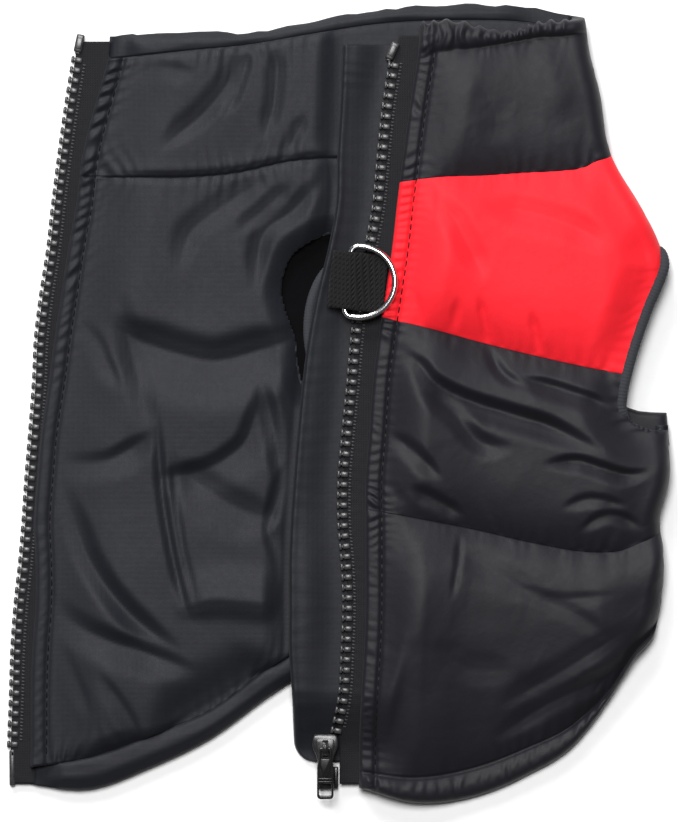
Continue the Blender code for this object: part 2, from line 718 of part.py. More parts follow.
def build_right_zip(collection):
    slider_top = SLIDER_PLACE[1] + SLIDER_SIZE[1] / 2
    stop_y = 113.0
    teeth = []
    for y in zip_rows(stop_y - TOP_STOP[1] / 2 - 0.5, slider_top + 0.4):
        x = edge_x("right_teeth", y)
        teeth.append((x - TEETH_WIDTH / 2, x + TEETH_WIDTH / 2, y))
    strip("zip_teeth_right", teeth,
          teeth_low, lambda x, y: teeth_low(x, y) + TEETH_WALL, "zip_plastic", collection)
    tape = []
    for y in zip_rows(118.0, slider_top + 1.0):
        teeth_edge = edge_x("right_teeth", y) + TEETH_WIDTH / 2
        tape.append((teeth_edge + SEAM_GAP, edge_x("right_cloth", y) + TAPE_TUCK, y))
    for y in zip_rows(slider_top - 1.0, -122.0):
        tape.append((SLIDER_PLACE[0] + SLIDER_SIZE[0] / 2 + SEAM_GAP,
                     edge_x("right_cloth", y) + TAPE_TUCK, y))
    strip("zip_tape_right", tape,
          lambda x, y: teeth_low(x, y) + TAPE_LIFT,
          lambda x, y: teeth_low(x, y) + TAPE_LIFT + TAPE_WALL, "zip_tape", collection)
    x = edge_x("right_teeth", stop_y)
    box_piece("zip_top_stop_right", TOP_STOP, (x - 0.9, stop_y, teeth_low(x, stop_y) + 1.5),
              "zip_plastic", collection, turn=-25.0)
    box_floor = zip_base(*ZIP_BOX_PLACE) + ZIP_BOX[2] / 2
    box_piece("zip_box_right", ZIP_BOX, (*ZIP_BOX_PLACE, box_floor), "zip_plastic", collection)


def build_left_zip(collection):
    teeth = []
    for y in zip_rows(112.5, PIN_PLACE[1] + PIN_SIZE[1] / 2 + 0.5):
        edge = edge_x("left_teeth", y)
        teeth.append((edge - TEETH_WIDTH, edge, y))
    strip("zip_teeth_left", teeth, lambda x, y: 0.0,
          lambda x, y: TEETH_WALL, "zip_plastic", collection)
    tape = []
    for y in zip_rows(116.5, -122.0):
        tape.append((edge_x("left_teeth", y) + SEAM_GAP, edge_x("left_cloth", y) + TAPE_TUCK, y))
    tape_low = ZIP_EDGE_WALL + SEAM_GAP
    strip("zip_tape_left", tape, lambda x, y: tape_low,
          lambda x, y: tape_low + TAPE_WALL, "zip_tape", collection)
    box_piece("zip_pin_left", PIN_SIZE, (PIN_PLACE[0], PIN_PLACE[1], PIN_SIZE[2] / 2),
              "zip_plastic", collection, turn=0.5)
    stop_y = 113.0 + TOP_STOP[1] / 2
    stop_x = edge_x("left_teeth", stop_y) - TOP_STOP[0] / 2
    box_piece("zip_top_stop_left", TOP_STOP, (stop_x, stop_y, TOP_STOP[2] / 2),
              "zip_plastic", collection, turn=-12.0)


def slider_outline():
    """Plan of the slider's plates: wide shoulders above, a narrower heel below."""
    half_width, half_length = SLIDER_SIZE[0] / 2, SLIDER_SIZE[1] / 2
    right = [(0.86, 1.0), (0.99, 0.7), (0.97, 0.1), (0.68, -0.45), (0.6, -1.0)]
    points = [(half_width * x, half_length * y) for x, y in right]
    return points + [(-x, y) for x, y in reversed(points)]


def bridge_profile(top):
    """Side view, as (y, z), of the arch that the pull tab turns under."""
    outer = [(2.9, -0.4), (2.8, 2.2), (2.0, 3.1), (0.4, 3.35), (-1.2, 3.0), (-2.2, 2.0), (-2.4, -0.4)]
    inner = [(-1.6, -0.4), (-1.5, 1.8), (-0.9, 2.45), (0.4, 2.65), (1.5, 2.45), (2.0, 1.9), (2.0, -0.4)]
    return [(y, top + z) for y, z in outer + inner]


def build_slider(collection, cutters):
    """Two plates on a neck, with a bridge over the upper one for the pull tab."""
    top = 2 * SLIDER_PLATE + SLIDER_CHANNEL
    corners = [(SLIDER_PLACE[0] + x, SLIDER_PLACE[1] + y) for x, y in slider_outline()]
    floor = max(teeth_low(x, y) for x, y in corners) + SEAM_GAP
    place = Vector((*SLIDER_PLACE, floor)) * MM
    mesh = extrusion("slider", slider_outline(), 0.0, SLIDER_PLATE)
    slider = add_object("slider", mesh, "zip_plastic", collection, smooth_faces=False)
    neck_outline = [(0.0, -0.8), (1.3, 1.2), (1.3, 4.1), (-1.3, 4.1), (-1.3, 1.2)]
    pieces = (
        helper("slider_neck", extrusion("slider_neck", neck_outline, SLIDER_PLATE / 2,
                                        top - SLIDER_PLATE / 2), cutters),
        helper("slider_crown_plate", extrusion("slider_crown_plate", slider_outline(),
                                               top - SLIDER_PLATE, top), cutters),
        helper("slider_bridge", extrusion("slider_bridge", bridge_profile(top),
                                          -BRIDGE_HALF_WIDTH, BRIDGE_HALF_WIDTH, axis="X"),
               cutters),
    )
    slider.location = place
    for piece in pieces:
        piece.location = place
        combine(slider, piece, "UNION")
    return place, top * MM


def build_pull(collection, cutters, place, top):
    """Flat pull tab with an eye round the slider's arch and a window near its end."""
    half = PULL_WIDTH / 2
    far = -PULL_LENGTH
    outline = [(2.0, PULL_WALL / 2), (2.15, -3.4), (half, -5.2), (half, far + 0.8),
               (half - 0.8, far), (-half + 0.8, far), (-half, far + 0.8), (-half, -5.2),
               (-2.15, -3.4), (-2.0, PULL_WALL / 2)]
    pull = add_object("pull_tab", extrusion("pull_tab", outline, -PULL_WALL / 2, PULL_WALL / 2),
                      "zip_plastic", collection, smooth_faces=False)
    window = [(-1.95, far + 5.2), (1.95, far + 5.2), (1.95, far + 1.0), (-1.95, far + 1.0)]
    eye = [(-1.35, -PULL_WALL / 2), (1.35, -PULL_WALL / 2), (1.35, -3.1), (-1.35, -3.1)]
    holes = (
        helper("pull_window", extrusion("pull_window", window, -2.0, 2.0), cutters),
        helper("pull_eye", extrusion("pull_eye", eye, -2.0, 2.0), cutters),
    )
    pivot = place + Vector((0.0, 0.0, top + PULL_PIN_RISE * MM))
    for piece in (pull, *holes):
        piece.location = pivot
        piece.rotation_euler = (math.radians(PULL_SLOPE), 0.0, 0.0)
    for hole in holes:
        combine(pull, hole)
    return pivot


# ---------------------------------------------------------------- webbing loop and ring
def ring_line():
    """Middle of the ring's wire, its straight bar on the Y axis and its bow towards +X."""
    half, corner = RING_HALF_WIDTH, RING_CORNER
    arm = RING_DEPTH - half
    points = [(0.0, y, 0.0) for y in np.linspace(-(half - corner), half - corner, 4)]
    for turn in np.linspace(0.0, math.pi / 2, 5)[1:]:
        points.append((corner - corner * math.cos(turn), half - corner + corner * math.sin(turn), 0.0))
    for turn in np.linspace(math.pi / 2, -math.pi / 2, 17):
        points.append((arm + half * math.cos(turn), half * math.sin(turn), 0.0))
    for turn in np.linspace(math.pi / 2, 0.0, 5)[:-1]:
        points.append((corner - corner * math.cos(turn), -(half - corner) - corner * math.sin(turn), 0.0))
    return points


def build_ring(collection):
    ring = tube("d_ring", ring_line(), RING_WIRE,
                "ring_metal", collection)
    ring.location = Vector(RING_PIVOT) * MM
    ring.rotation_euler = (0.0, -math.radians(RING_TILT), math.radians(RING_TURN))
    return ring


def build_webbing(collection):
    """Webbing folded round the ring's bar, its two ends at the casing's edge."""
    middle = np.array([(p.x, p.z) for p in WEBBING_PATH])
    runs = np.gradient(middle, axis=0)
    runs /= np.linalg.norm(runs, axis=1)[:, None]
    normal = np.stack([runs[:, 1], -runs[:, 0]], axis=1) * WEBBING_WALL / 2
    half = WEBBING_WIDTH / 2
    outer = [[(x, y, z) for x, z in middle + normal] for y in (-half, half)]
    inner = [[(x, y, z) for x, z in middle - normal] for y in (-half, half)]
    webbing = closed_sheet("webbing_loop", outer, inner, "webbing", collection)
    webbing.location = Vector(RING_PIVOT) * MM
    webbing.rotation_euler = (0.0, 0.0, math.radians(RING_TURN))
    return webbing


# ---------------------------------------------------------------- the whole coat
def build_bindings(collection):
    tube("armhole_binding_right", armhole_line(), BINDING_RADIUS, "grey_binding", collection, resolution=1)
    left = [(x, y, BINDING_RADIUS + 1.6) for x, y in left_armhole_outline()]
    tube("armhole_binding_left", left, BINDING_RADIUS, "grey_binding", collection, resolution=1)


def main():
    for old in list(bpy.data.objects):
        bpy.data.objects.remove(old, do_unlink=True)
    coat = bpy.data.collections.new("dog_winter_coat")
    cutters = bpy.data.collections.new("cutters")
    for collection in (coat, cutters):
        bpy.context.scene.collection.children.link(collection)

    shells = {name: build_shell(name, "red_shell" if name == "shell_yoke" else "black_shell", coat)
              for name in PANELS}
    linings = {name: build_lining(name, coat) for name in LINING_PANELS}

    divide = LINING_TOP + LAYER_GAP / 2
    near = armhole_cutter("armhole_near_cut", ARMHOLE_NEAR, 1.0, divide, 40.0, cutters)
    far = armhole_cutter("armhole_far_cut", ARMHOLE_FAR, -1.0, -5.0, divide, cutters)
    left_cut = helper("left_armhole_cut", extrusion("left_armhole_cut", left_armhole_outline(
        BINDING_RADIUS + SEAM_GAP), -5.0, LINING_TOP + 2.0), cutters)
    for target in (shells["shell_yoke"], shells["shell_upper"]):
        combine(target, near)
        combine(target, far)
        combine(target, left_cut)
    combine(linings["lining_body"], far)
    combine(linings["lining_body"], left_cut)

    build_bindings(coat)
    build_flap(coat)
    build_right_zip(coat)
    build_left_zip(coat)
    place, top = build_slider(coat, cutters)
    build_pull(coat, cutters, place, top)
    build_webbing(coat)
    build_ring(coat)


main()
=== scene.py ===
"""Looks of a small dog's padded winter coat, unzipped along the back and laid out flat.

The tables and sizes are in millimetres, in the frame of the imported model: +Y to the neck, +Z up.
Meshes are made in metres.
"""
import math
from typing import NamedTuple

import bmesh
import bpy
import numpy as np
from mathutils import Matrix, Vector


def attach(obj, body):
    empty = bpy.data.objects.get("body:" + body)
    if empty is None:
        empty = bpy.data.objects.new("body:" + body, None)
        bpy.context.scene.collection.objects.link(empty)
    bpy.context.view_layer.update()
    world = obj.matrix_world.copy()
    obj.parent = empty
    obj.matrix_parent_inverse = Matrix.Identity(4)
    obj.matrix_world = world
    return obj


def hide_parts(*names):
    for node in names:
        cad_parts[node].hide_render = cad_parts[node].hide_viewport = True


bl_info = {
    "name": "Padded Dog Coat",
    "version": (1, 0, 0),
    "blender": (4, 5, 0),
    "location": "View3D > Sidebar > Coat",
    "description": "Dresses a padded dog coat that lies unzipped and flat",
    "category": "Add Mesh",
}

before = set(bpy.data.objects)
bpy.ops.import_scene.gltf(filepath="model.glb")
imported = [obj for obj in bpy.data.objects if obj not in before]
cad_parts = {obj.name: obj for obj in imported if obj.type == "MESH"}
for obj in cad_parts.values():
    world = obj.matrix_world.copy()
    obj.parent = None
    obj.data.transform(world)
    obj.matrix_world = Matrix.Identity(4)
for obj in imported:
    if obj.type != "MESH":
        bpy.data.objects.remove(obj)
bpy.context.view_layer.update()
MM = 0.001
SEAM_GAP = 0.3
SEAM_LAP = 0.15

# ---------------------------------------------------------------- the coat's sizes
SHELL_WALL = 3.2
ZIP_EDGE_WALL = 0.9
LINING_WALL = 0.8
LINING_TOP = 6.4
LINING_UNDERSIDE = 3.4
LINING_ZIP_UNDERSIDE = 2.3
LAYER_GAP = 0.5
FLAP_WALL = 1.2
TAPE_WALL = 0.8
TAPE_LIFT = 0.7
SEAM_WALL = 3.2
PUFF_RISE = 6.2
CASING_WALL = 2.6
FOLD_RADIUS = 5.5
FOLD_INNER_RADIUS = 1.6
DRAPE = 22.0
ZIP_BAND = 6.5
TAPE_TUCK = 3.2
FLAP_TUCK = 8.0
PINCH_RUN = 14.0


class Section(NamedTuple):
    """Where the coat's long edges lie at one distance along the back."""
    y: float
    left_teeth: float
    left_cloth: float
    flap: float
    right_teeth: float
    right_cloth: float
    fold: float


SECTIONS = (
    Section(128.5, -80.5, -73.5, 1.5, 20.5, 26.5, 78.0),
    Section(110.0, -83.0, -74.5, 1.0, 17.5, 25.0, 81.0),
    Section(97.5, -85.0, -78.0, 0.5, 15.5, 23.0, 84.0),
    Section(79.5, -87.5, -82.5, -0.5, 13.5, 20.5, 87.5),
    Section(63.5, -89.5, -84.5, -1.0, 12.0, 18.5, 96.5),
    Section(50.0, -91.0, -87.0, -3.5, 9.5, 17.0, 103.0),
    Section(33.5, -93.5, -89.5, -7.5, 6.5, 14.5, 105.5),
    Section(20.5, -95.0, -91.5, -10.0, 5.0, 12.5, 105.5),
    Section(9.0, -95.5, -93.0, -11.5, 4.0, 11.0, 105.5),
    Section(-11.5, -97.0, -96.0, -13.5, 2.0, 9.5, 105.5),
    Section(-23.5, -98.0, -97.0, -14.5, 1.0, 8.5, 106.0),
    Section(-38.5, -99.0, -98.0, -15.5, 1.0, 8.5, 102.5),
    Section(-50.5, -100.0, -97.5, -16.0, 2.0, 8.5, 105.0),
    Section(-64.5, -101.5, -97.5, -16.0, 2.5, 8.5, 103.0),
    Section(-78.5, -102.5, -98.5, -16.0, 2.0, 8.0, 101.0),
    Section(-94.5, -103.0, -99.0, -15.0, 1.0, 7.0, 100.0),
    Section(-107.5, -103.5, -99.0, -14.5, -1.5, 6.5, 100.0),
    Section(-128.5, -104.0, -99.5, -12.5, -2.0, 6.5, 100.0),
)


class Seams(NamedTuple):
    """Heights along the back of the cross seams, at one share of the way from zip to fold."""
    share: float
    neck_edge: float
    neck_stitch: float
    collar: float
    yoke: float
    body: float
    hem_stitch: float
    hem_edge: float


UPPER_SEAMS = (
    Seams(0.0, 121.5, 111.5, 71.0, 27.8, -33.5, -118.0, -123.0),
    Seams(0.2, 122.5, 113.0, 72.5, 23.8, -36.8, -120.0, -127.8),
    Seams(0.4, 120.5, 114.0, 73.0, 19.2, -40.3, -117.4, -126.4),
    Seams(0.6, 119.0, 115.8, 73.9, 15.0, -44.5, -111.0, -119.6),
    Seams(0.8, 122.0, 117.4, 74.6, 11.2, -47.4, -101.6, -108.0),
    Seams(0.9, 122.5, 117.6, 75.4, 9.6, -47.0, -92.8, -96.4),
    Seams(1.0, 122.5, 118.0, 77.8, 9.0, -43.8, -78.6, -81.0),
)
LOWER_SEAMS = (
    Seams(0.0, 118.0, 110.5, 73.0, 28.0, -34.0, -116.5, -122.0),
    Seams(0.1, 119.0, 112.0, 73.0, 24.5, -38.0, -113.5, -123.5),
    Seams(0.2, 119.5, 113.5, 73.0, 20.5, -42.0, -106.5, -116.5),
    Seams(0.3, 119.0, 115.0, 74.5, 15.5, -45.0, -98.5, -107.0),
    Seams(0.4, 121.5, 117.5, 78.0, 11.0, -46.5, -84.0, -93.0),
    Seams(0.6, 126.5, 122.0, 79.5, 9.0, -42.0, -64.5, -71.5),
    Seams(0.75, 128.0, 123.0, 80.2, 9.0, -39.5, -59.0, -65.5),
    Seams(0.9, 127.5, 122.5, 81.2, 9.0, -38.0, -58.0, -63.5),
    Seams(1.0, 125.0, 120.5, 82.2, 9.0, -36.5, -58.5, -62.0),
)


class Span(NamedTuple):
    """A stretch of a panel between two cross seams: 1 swells as a puff, 0 is a gathered casing."""
    low: str
    high: str
    puff: float
    rows: int


PANELS = {
    "shell_collar": (Span("collar", "neck_stitch", 0.5, 52), Span("neck_stitch", "neck_edge", 0.0, 12)),
    "shell_yoke": (Span("yoke", "collar", 1.0, 76),),
    "shell_upper": (Span("body", "yoke", 1.0, 84),),
    "shell_lower": (Span("hem_edge", "hem_stitch", 0.0, 12), Span("hem_stitch", "body", 1.0, 92)),
}
LINING_PANELS = {
    "lining_collar": ("collar", "neck_stitch", 50),
    "lining_body": ("hem_stitch", "collar", 190),
}


class Crease(NamedTuple):
    """A valley through points, or a ridge if its depth is negative.

    left and right are the widths of its two slopes, seen along the points.
    """
    depth: float
    left: float
    right: float
    points: tuple


SHELL_CREASES = (
    Crease(3.9, 4.6, 8.5, ((17.0, 18.6), (25.6, 13.1), (30.7, 6.7), (40.3, 1.6), (54.1, -2.9),
                           (66.6, -6.7), (78.1, -12.2), (85.4, -15.7))),
    Crease(2.0, 5.0, 6.5, ((24.3, 5.4), (36.5, -2.9), (45.1, -12.2), (56.6, -14.1))),
    Crease(1.3, 2.8, 3.8, ((45.1, 25.6), (48.3, 17.3), (52.5, 9.6), (61.1, 4.5))),
    Crease(2.2, 3.2, 6.8, ((56.6, 8.6), (66.6, 6.1), (76.8, 2.9), (83.8, 0.3), (89.9, -4.2))),
    Crease(2.7, 2.6, 5.6, ((64.6, -19.2), (75.5, -17.9), (82.6, -19.8), (91.8, -22.4), (100.2, -21.1))),
    Crease(1.3, 2.4, 4.4, ((70.7, -33.3), (80.3, -30.1), (92.5, -32.6))),
    Crease(1.5, 2.2, 4.6, ((76.5, -41.0), (82.6, -36.2), (89.0, -35.5), (98.2, -40.3))),
    Crease(2.1, 3.4, 6.6, ((13.1, -8.3), (22.7, -13.8), (28.2, -19.2), (33.0, -24.3))),
    Crease(1.3, 4.4, 4.4, ((11.8, -23.0), (20.8, -32.3))),
    Crease(1.6, 3.4, 6.0, ((22.1, -26.2), (31.4, -30.7), (40.6, -36.5))),
    Crease(0.7, 2.0, 2.0, ((39.0, -39.0), (38.1, -50.6), (35.8, -63.4))),
    Crease(1.1, 7.0, 6.0, ((49.6, -97.3), (70.7, -85.8), (93.8, -71.0))),
    Crease(1.3, 6.0, 6.0, ((48.3, -108.2), (66.9, -96.0), (81.0, -89.6), (97.0, -81.9))),
    Crease(0.6, 3.0, 5.4, ((54.7, -57.6), (70.7, -62.1), (88.6, -60.8))),
    Crease(0.7, 4.0, 5.4, ((59.8, -60.8), (73.9, -66.2), (79.7, -69.8), (88.6, -75.5))),
    Crease(0.7, 3.4, 5.0, ((76.5, -85.1), (85.4, -90.2), (93.8, -97.3))),
    Crease(0.9, 8.0, 8.0, ((35.5, -45.4), (51.5, -54.4), (64.3, -62.7))),
    Crease(0.7, 8.0, 8.0, ((29.1, -75.5), (41.9, -84.5), (57.9, -84.5))),
    Crease(1.9, 8.0, 8.0, ((45.1, 63.4), (61.1, 61.1), (75.5, 56.3), (88.6, 49.3))),
    Crease(1.9, 7.0, 7.0, ((32.3, 66.6), (39.7, 53.8), (47.0, 39.0))),
    Crease(1.1, 2.8, 2.8, ((44.5, 35.2), (49.0, 15.4))),
    Crease(1.1, 2.8, 2.8, ((61.1, 30.7), (65.6, 10.2))),
    Crease(0.9, 2.6, 2.6, ((24.0, 37.1), (27.2, 19.8))),
    Crease(0.9, 2.8, 2.8, ((38.1, 34.6), (35.2, 16.6))),
    Crease(0.8, 2.8, 2.8, ((28.2, 78.1), (30.1, 60.8))),
    Crease(0.5, 8.8, 8.8, ((43.8, 104.0), (49.9, 92.2), (48.0, 81.9))),
    Crease(0.6, 9.9, 9.9, ((65.9, 86.1), (78.1, 92.2), (84.2, 83.8))),
)
LINING_CREASES = (
    Crease(0.7, 3.5, 7.0, ((-70.1, 103.7), (-62.1, 107.2), (-55.7, 107.8), (-44.5, 105.6))),
    Crease(1.5, 7.5, 5.0, ((-58.6, 80.6), (-50.9, 86.7), (-42.2, 94.1), (-35.2, 103.7), (-34.2, 114.6))),
    Crease(1.0, 5.0, 3.0, ((-37.4, 90.9), (-32.3, 100.5), (-27.8, 115.8))),
    Crease(1.3, 5.5, 4.6, ((-24.6, 83.8), (-22.7, 89.0), (-20.5, 98.2), (-19.5, 116.5))),
    Crease(0.9, 5.0, 3.4, ((-20.2, 76.2), (-14.4, 84.5), (-10.2, 93.4))),
    Crease(1.3, 8.0, 6.0, ((-51.5, 41.0), (-48.6, 53.1), (-43.2, 58.9), (-34.2, 65.3), (-20.2, 74.2))),
    Crease(1.2, 6.0, 4.4, ((-33.6, 54.4), (-24.0, 62.1), (-13.8, 71.0))),
    Crease(1.7, 6.4, 5.4, ((-26.9, 34.6), (-25.6, 49.3), (-22.7, 56.3), (-14.4, 62.1), (-4.2, 73.6))),
    Crease(3.9, 11.0, 20.0, ((-77.8, 27.5), (-61.8, 19.5), (-49.0, 15.4), (-39.0, 13.8), (-26.2, 17.0),
                             (-15.7, 20.5), (-7.4, 23.7))),
    Crease(1.2, 3.0, 7.0, ((-86.7, 29.4), (-77.8, 20.8), (-74.2, 13.4), (-69.4, 3.8))),
    Crease(1.1, 7.0, 7.0, ((-59.8, -10.2), (-63.7, 5.1), (-66.9, 17.3), (-70.7, 36.5))),
    Crease(1.7, 4.6, 9.0, ((-95.7, -18.9), (-78.1, -18.6), (-69.1, -15.7), (-57.9, -8.3))),
    Crease(3.1, 6.4, 6.5, ((-90.6, -21.1), (-83.5, -41.9), (-79.7, -50.9), (-72.3, -61.8),
                           (-62.7, -71.4), (-49.0, -80.6))),
    Crease(2.8, 6.0, 11.0, ((-97.6, -55.0), (-90.2, -65.9), (-82.9, -71.4), (-72.3, -76.5),
                            (-62.7, -79.4), (-44.5, -86.4))),
    Crease(1.5, 3.4, 2.6, ((-47.0, -72.3), (-52.2, -53.4), (-55.7, -34.9), (-57.3, -20.5),
                           (-58.2, -0.6))),
    Crease(0.7, 3.0, 2.4, ((-44.5, -67.8), (-49.6, -48.6), (-52.2, -30.7), (-53.4, -10.9))),
    Crease(-2.2, 15.0, 9.0, ((-54.1, -67.2), (-42.9, -62.7), (-31.7, -62.7), (-12.5, -65.3))),
    Crease(5.4, 24.0, 3.0, ((-60.5, -112.6), (-47.7, -105.6), (-36.5, -99.2), (-24.6, -92.2),
                            (-12.5, -83.2))),
    Crease(2.6, 7.0, 2.4, ((-97.0, -118.4), (-82.9, -115.2), (-70.1, -110.7), (-57.3, -106.2))),
    Crease(2.0, 5.2, 12.0, ((-61.1, -24.3), (-44.2, -21.1), (-35.2, -16.6), (-28.8, -9.6),
                            (-24.6, 7.7))),
    Crease(1.9, 9.0, 14.0, ((-55.4, -18.6), (-41.3, -28.2), (-31.0, -33.9), (-18.2, -38.4))),
    Crease(2.4, 5.0, 4.0, ((-23.4, -42.2), (-18.6, -28.2), (-13.8, -16.6))),
    Crease(1.4, 4.4, 3.6, ((-16.3, -62.7), (-18.9, -49.3), (-24.6, -37.1))),
    Crease(2.0, 6.0, 5.4, ((-18.2, -26.2), (-20.8, -7.7), (-25.3, 7.7))),
    Crease(0.9, 3.0, 6.0, ((-77.8, -85.1), (-67.5, -99.8), (-62.4, -112.6))),
    Crease(0.7, 3.0, 6.0, ((-91.8, -73.0), (-84.2, -88.3), (-79.0, -101.8))),
)


class LoopPoint(NamedTuple):
    """Centre of the bound edge of the right armhole, over the fold and under it."""
    x: float
    y: float
    z: float


ARMHOLE = (
    LoopPoint(103.3, 48.5, 6.3), LoopPoint(104.1, 44.0, 9.0), LoopPoint(101.8, 37.5, 9.6),
    LoopPoint(99.0, 31.0, 9.6), LoopPoint(95.6, 21.5, 9.6), LoopPoint(93.0, 13.0, 9.6),
    LoopPoint(91.0, 4.5, 9.6), LoopPoint(90.6, -2.0, 9.2), LoopPoint(93.5, -5.7, 8.6),
    LoopPoint(98.5, -8.2, 7.4), LoopPoint(102.6, -8.6, 5.6), LoopPoint(102.2, -6.4, 3.4),
    LoopPoint(96.5, -4.4, 2.1), LoopPoint(88.5, 0.5, 2.0), LoopPoint(83.0, 9.0, 2.0),
    LoopPoint(82.0, 20.0, 2.0), LoopPoint(86.5, 33.0, 2.0), LoopPoint(95.0, 43.5, 2.1),
    LoopPoint(101.2, 48.2, 3.6),
)
ARMHOLE_PARTS = 6
ARMHOLE_NEAR = slice(0, 10 * ARMHOLE_PARTS + 1)
ARMHOLE_FAR = slice(11 * ARMHOLE_PARTS, 18 * ARMHOLE_PARTS + 1)
BINDING_RADIUS = 1.6
LEFT_ARMHOLE = (
    (-1.6, 54.5), (-9.0, 52.0), (-14.8, 47.6), (-17.4, 42.2), (-18.4, 36.5), (-17.2, 30.7), (-15.4, 25.3),
    (-13.8, 20.5), (-13.2, 14.0), (-11.8, 7.7), (-9.0, 2.6), (-3.8, -1.5), (3.0, -2.5), (11.0, 1.2),
    (16.6, 9.5), (18.8, 21.0), (17.6, 33.0), (12.6, 45.0), (5.4, 52.5),
)
BINDING_CENTRE = (2.5, 24.0)
BINDING_RADII = (12.4, 22.0)
BINDING_RIB_PITCH = 1.1
RIGHT_KNIT_RADIUS = 1.65
LEFT_KNIT_RADIUS = 1.55
ARMHOLE_DIP = 3.4
ARMHOLE_DIP_RUN = 6.5


# ---------------------------------------------------------------- tables to curves
def column(table, name):
    return np.array([getattr(row, name) for row in table], float)


def smooth_line(keys, values, at):
    """Values of a smooth line through a table's rows; keys rise."""
    at = np.clip(at, keys[0], keys[-1])
    i = np.clip(np.searchsorted(keys, at) - 1, 0, len(keys) - 2)
    slopes = np.gradient(values, keys)
    span = keys[i + 1] - keys[i]
    t = (at - keys[i]) / span
    h00 = (1 + 2 * t) * (1 - t) ** 2
    h10 = t * (1 - t) ** 2
    h01 = t * t * (3 - 2 * t)
    h11 = t * t * (t - 1)
    return (h00 * values[i] + h10 * span * slopes[i]
            + h01 * values[i + 1] + h11 * span * slopes[i + 1])


def edge_x(name, y):
    """X of one of the coat's long edges at y."""
    rows = SECTIONS[::-1]
    return smooth_line(column(rows, "y"), column(rows, name), y)


def seam_y(table, name, share):
    return smooth_line(column(table, "share"), column(table, name), share)


def ease(t):
    """Smooth step from 0 to 1."""
    t = np.clip(t, 0.0, 1.0)
    return t * t * (3 - 2 * t)


def bump(t):
    """Bell of height 1 round 0."""
    return np.exp(-t * t)


def noise(x, y, size, seed):
    """Smooth seeded random field from -1 to 1, with blobs about size across."""
    lattice = np.random.default_rng(seed).uniform(-1.0, 1.0, (257, 257))
    u = np.asarray(x) / size + 64.0
    v = np.asarray(y) / size + 64.0
    i = np.floor(u).astype(int)
    j = np.floor(v).astype(int)
    a = ease(u - i)
    b = ease(v - j)
    i0, i1, j0, j1 = i % 257, (i + 1) % 257, j % 257, (j + 1) % 257
    low = lattice[i0, j0] * (1 - a) + lattice[i1, j0] * a
    high = lattice[i0, j1] * (1 - a) + lattice[i1, j1] * a
    return low * (1 - b) + high * b


def crinkle(x, y, seed):
    """Small sharp wrinkles of thin nylon: bent ridges at three sizes."""
    warp_x = x + 5.0 * noise(x, y, 11.0, seed)
    warp_y = y + 5.0 * noise(x, y, 11.0, seed + 1)
    total = 0.0
    for step, (size, weight) in enumerate(((15.0, 0.5), (7.5, 0.3), (3.6, 0.17))):
        total = total + weight * (1 - 2.2 * np.abs(noise(warp_x, warp_y, size, seed + 2 + step)))
    return total


def gathers(along, away, pitch, seed):
    """Uneven ridges that run away from a gathered seam; along is the distance on the seam."""
    bend = 0.9 * pitch * noise(along, away, 2.6 * pitch, seed) + 0.1 * away
    wave = np.cos(2 * math.pi * (along + bend) / pitch)
    strength = 0.62 + 0.5 * noise(along, away * 0.4, 1.9 * pitch, seed + 7)
    return strength * wave


def polyline_distance(points, x, y, closed=False):
    """Distance, share along and side (+1 left) of places from a line of points."""
    points = np.asarray(points, float)[:, :2]
    starts = points if closed else points[:-1]
    ends = np.roll(points, -1, axis=0) if closed else points[1:]
    lengths = np.linalg.norm(ends - starts, axis=1)
    total = lengths.sum()
    best = np.full(np.shape(x), 1e9)
    share = np.zeros(np.shape(x))
    side = np.ones(np.shape(x))
    gone = 0.0
    for (x0, y0), (x1, y1), length in zip(starts, ends, lengths):
        dx, dy = (x1 - x0) / length, (y1 - y0) / length
        along = np.clip((x - x0) * dx + (y - y0) * dy, 0.0, length)
        away = np.hypot(x - x0 - along * dx, y - y0 - along * dy)
        turn = np.sign(dx * (y - y0) - dy * (x - x0))
        nearer = away < best
        best = np.where(nearer, away, best)
        share = np.where(nearer, (gone + along) / total, share)
        side = np.where(nearer, np.where(turn == 0, 1, turn), side)
        gone += length
    return best, share, side


def crease_field(creases, x, y):
    """Depth of all the creases at each place."""
    depth = np.zeros(np.shape(x))
    for crease in creases:
        fine = open_curve(crease.points, 5)
        away, share, side = polyline_distance(fine, x, y)
        taper = ease(np.minimum(share, 1 - share) * 3.2 + 0.05)
        run = np.where(side > 0, crease.left, crease.right) * (0.5 + 0.5 * taper)
        nearness = np.clip(1 - away / run, 0, 1)
        depth += crease.depth * taper * nearness ** 1.2 * ease(nearness * 1.5)
    return depth


def spline(points, parts, closed):
    """A smooth line through points, with the given number of parts between each two."""
    points = np.asarray(points, float)
    count = len(points)
    line = []
    for i in range(count if closed else count - 1):
        if closed:
            p0, p1, p2, p3 = (points[(i + k) % count] for k in (-1, 0, 1, 2))
        else:
            p1, p2 = points[i], points[i + 1]
            p0 = points[i - 1] if i else 2 * p1 - p2
            p3 = points[i + 2] if i + 2 < count else 2 * p2 - p1
        t = (np.arange(parts) / parts)[:, None]
        line.append(0.5 * (2 * p1 + (p2 - p0) * t + (2 * p0 - 5 * p1 + 4 * p2 - p3) * t ** 2
                           + (3 * p1 - p0 - 3 * p2 + p3) * t ** 3))
    if not closed:
        line.append(points[-1:])
    return np.concatenate(line)


def open_curve(points, parts):
    return spline(points, parts, closed=False)


def armhole_line():
    """Centre of the right armhole's binding, all the way round."""
    return spline([(p.x, p.y, p.z) for p in ARMHOLE], ARMHOLE_PARTS, closed=True)


def left_armhole_line():
    """Edge of the left armhole, pushed open beside the wind flap."""
    return spline(LEFT_ARMHOLE, 12, closed=True)


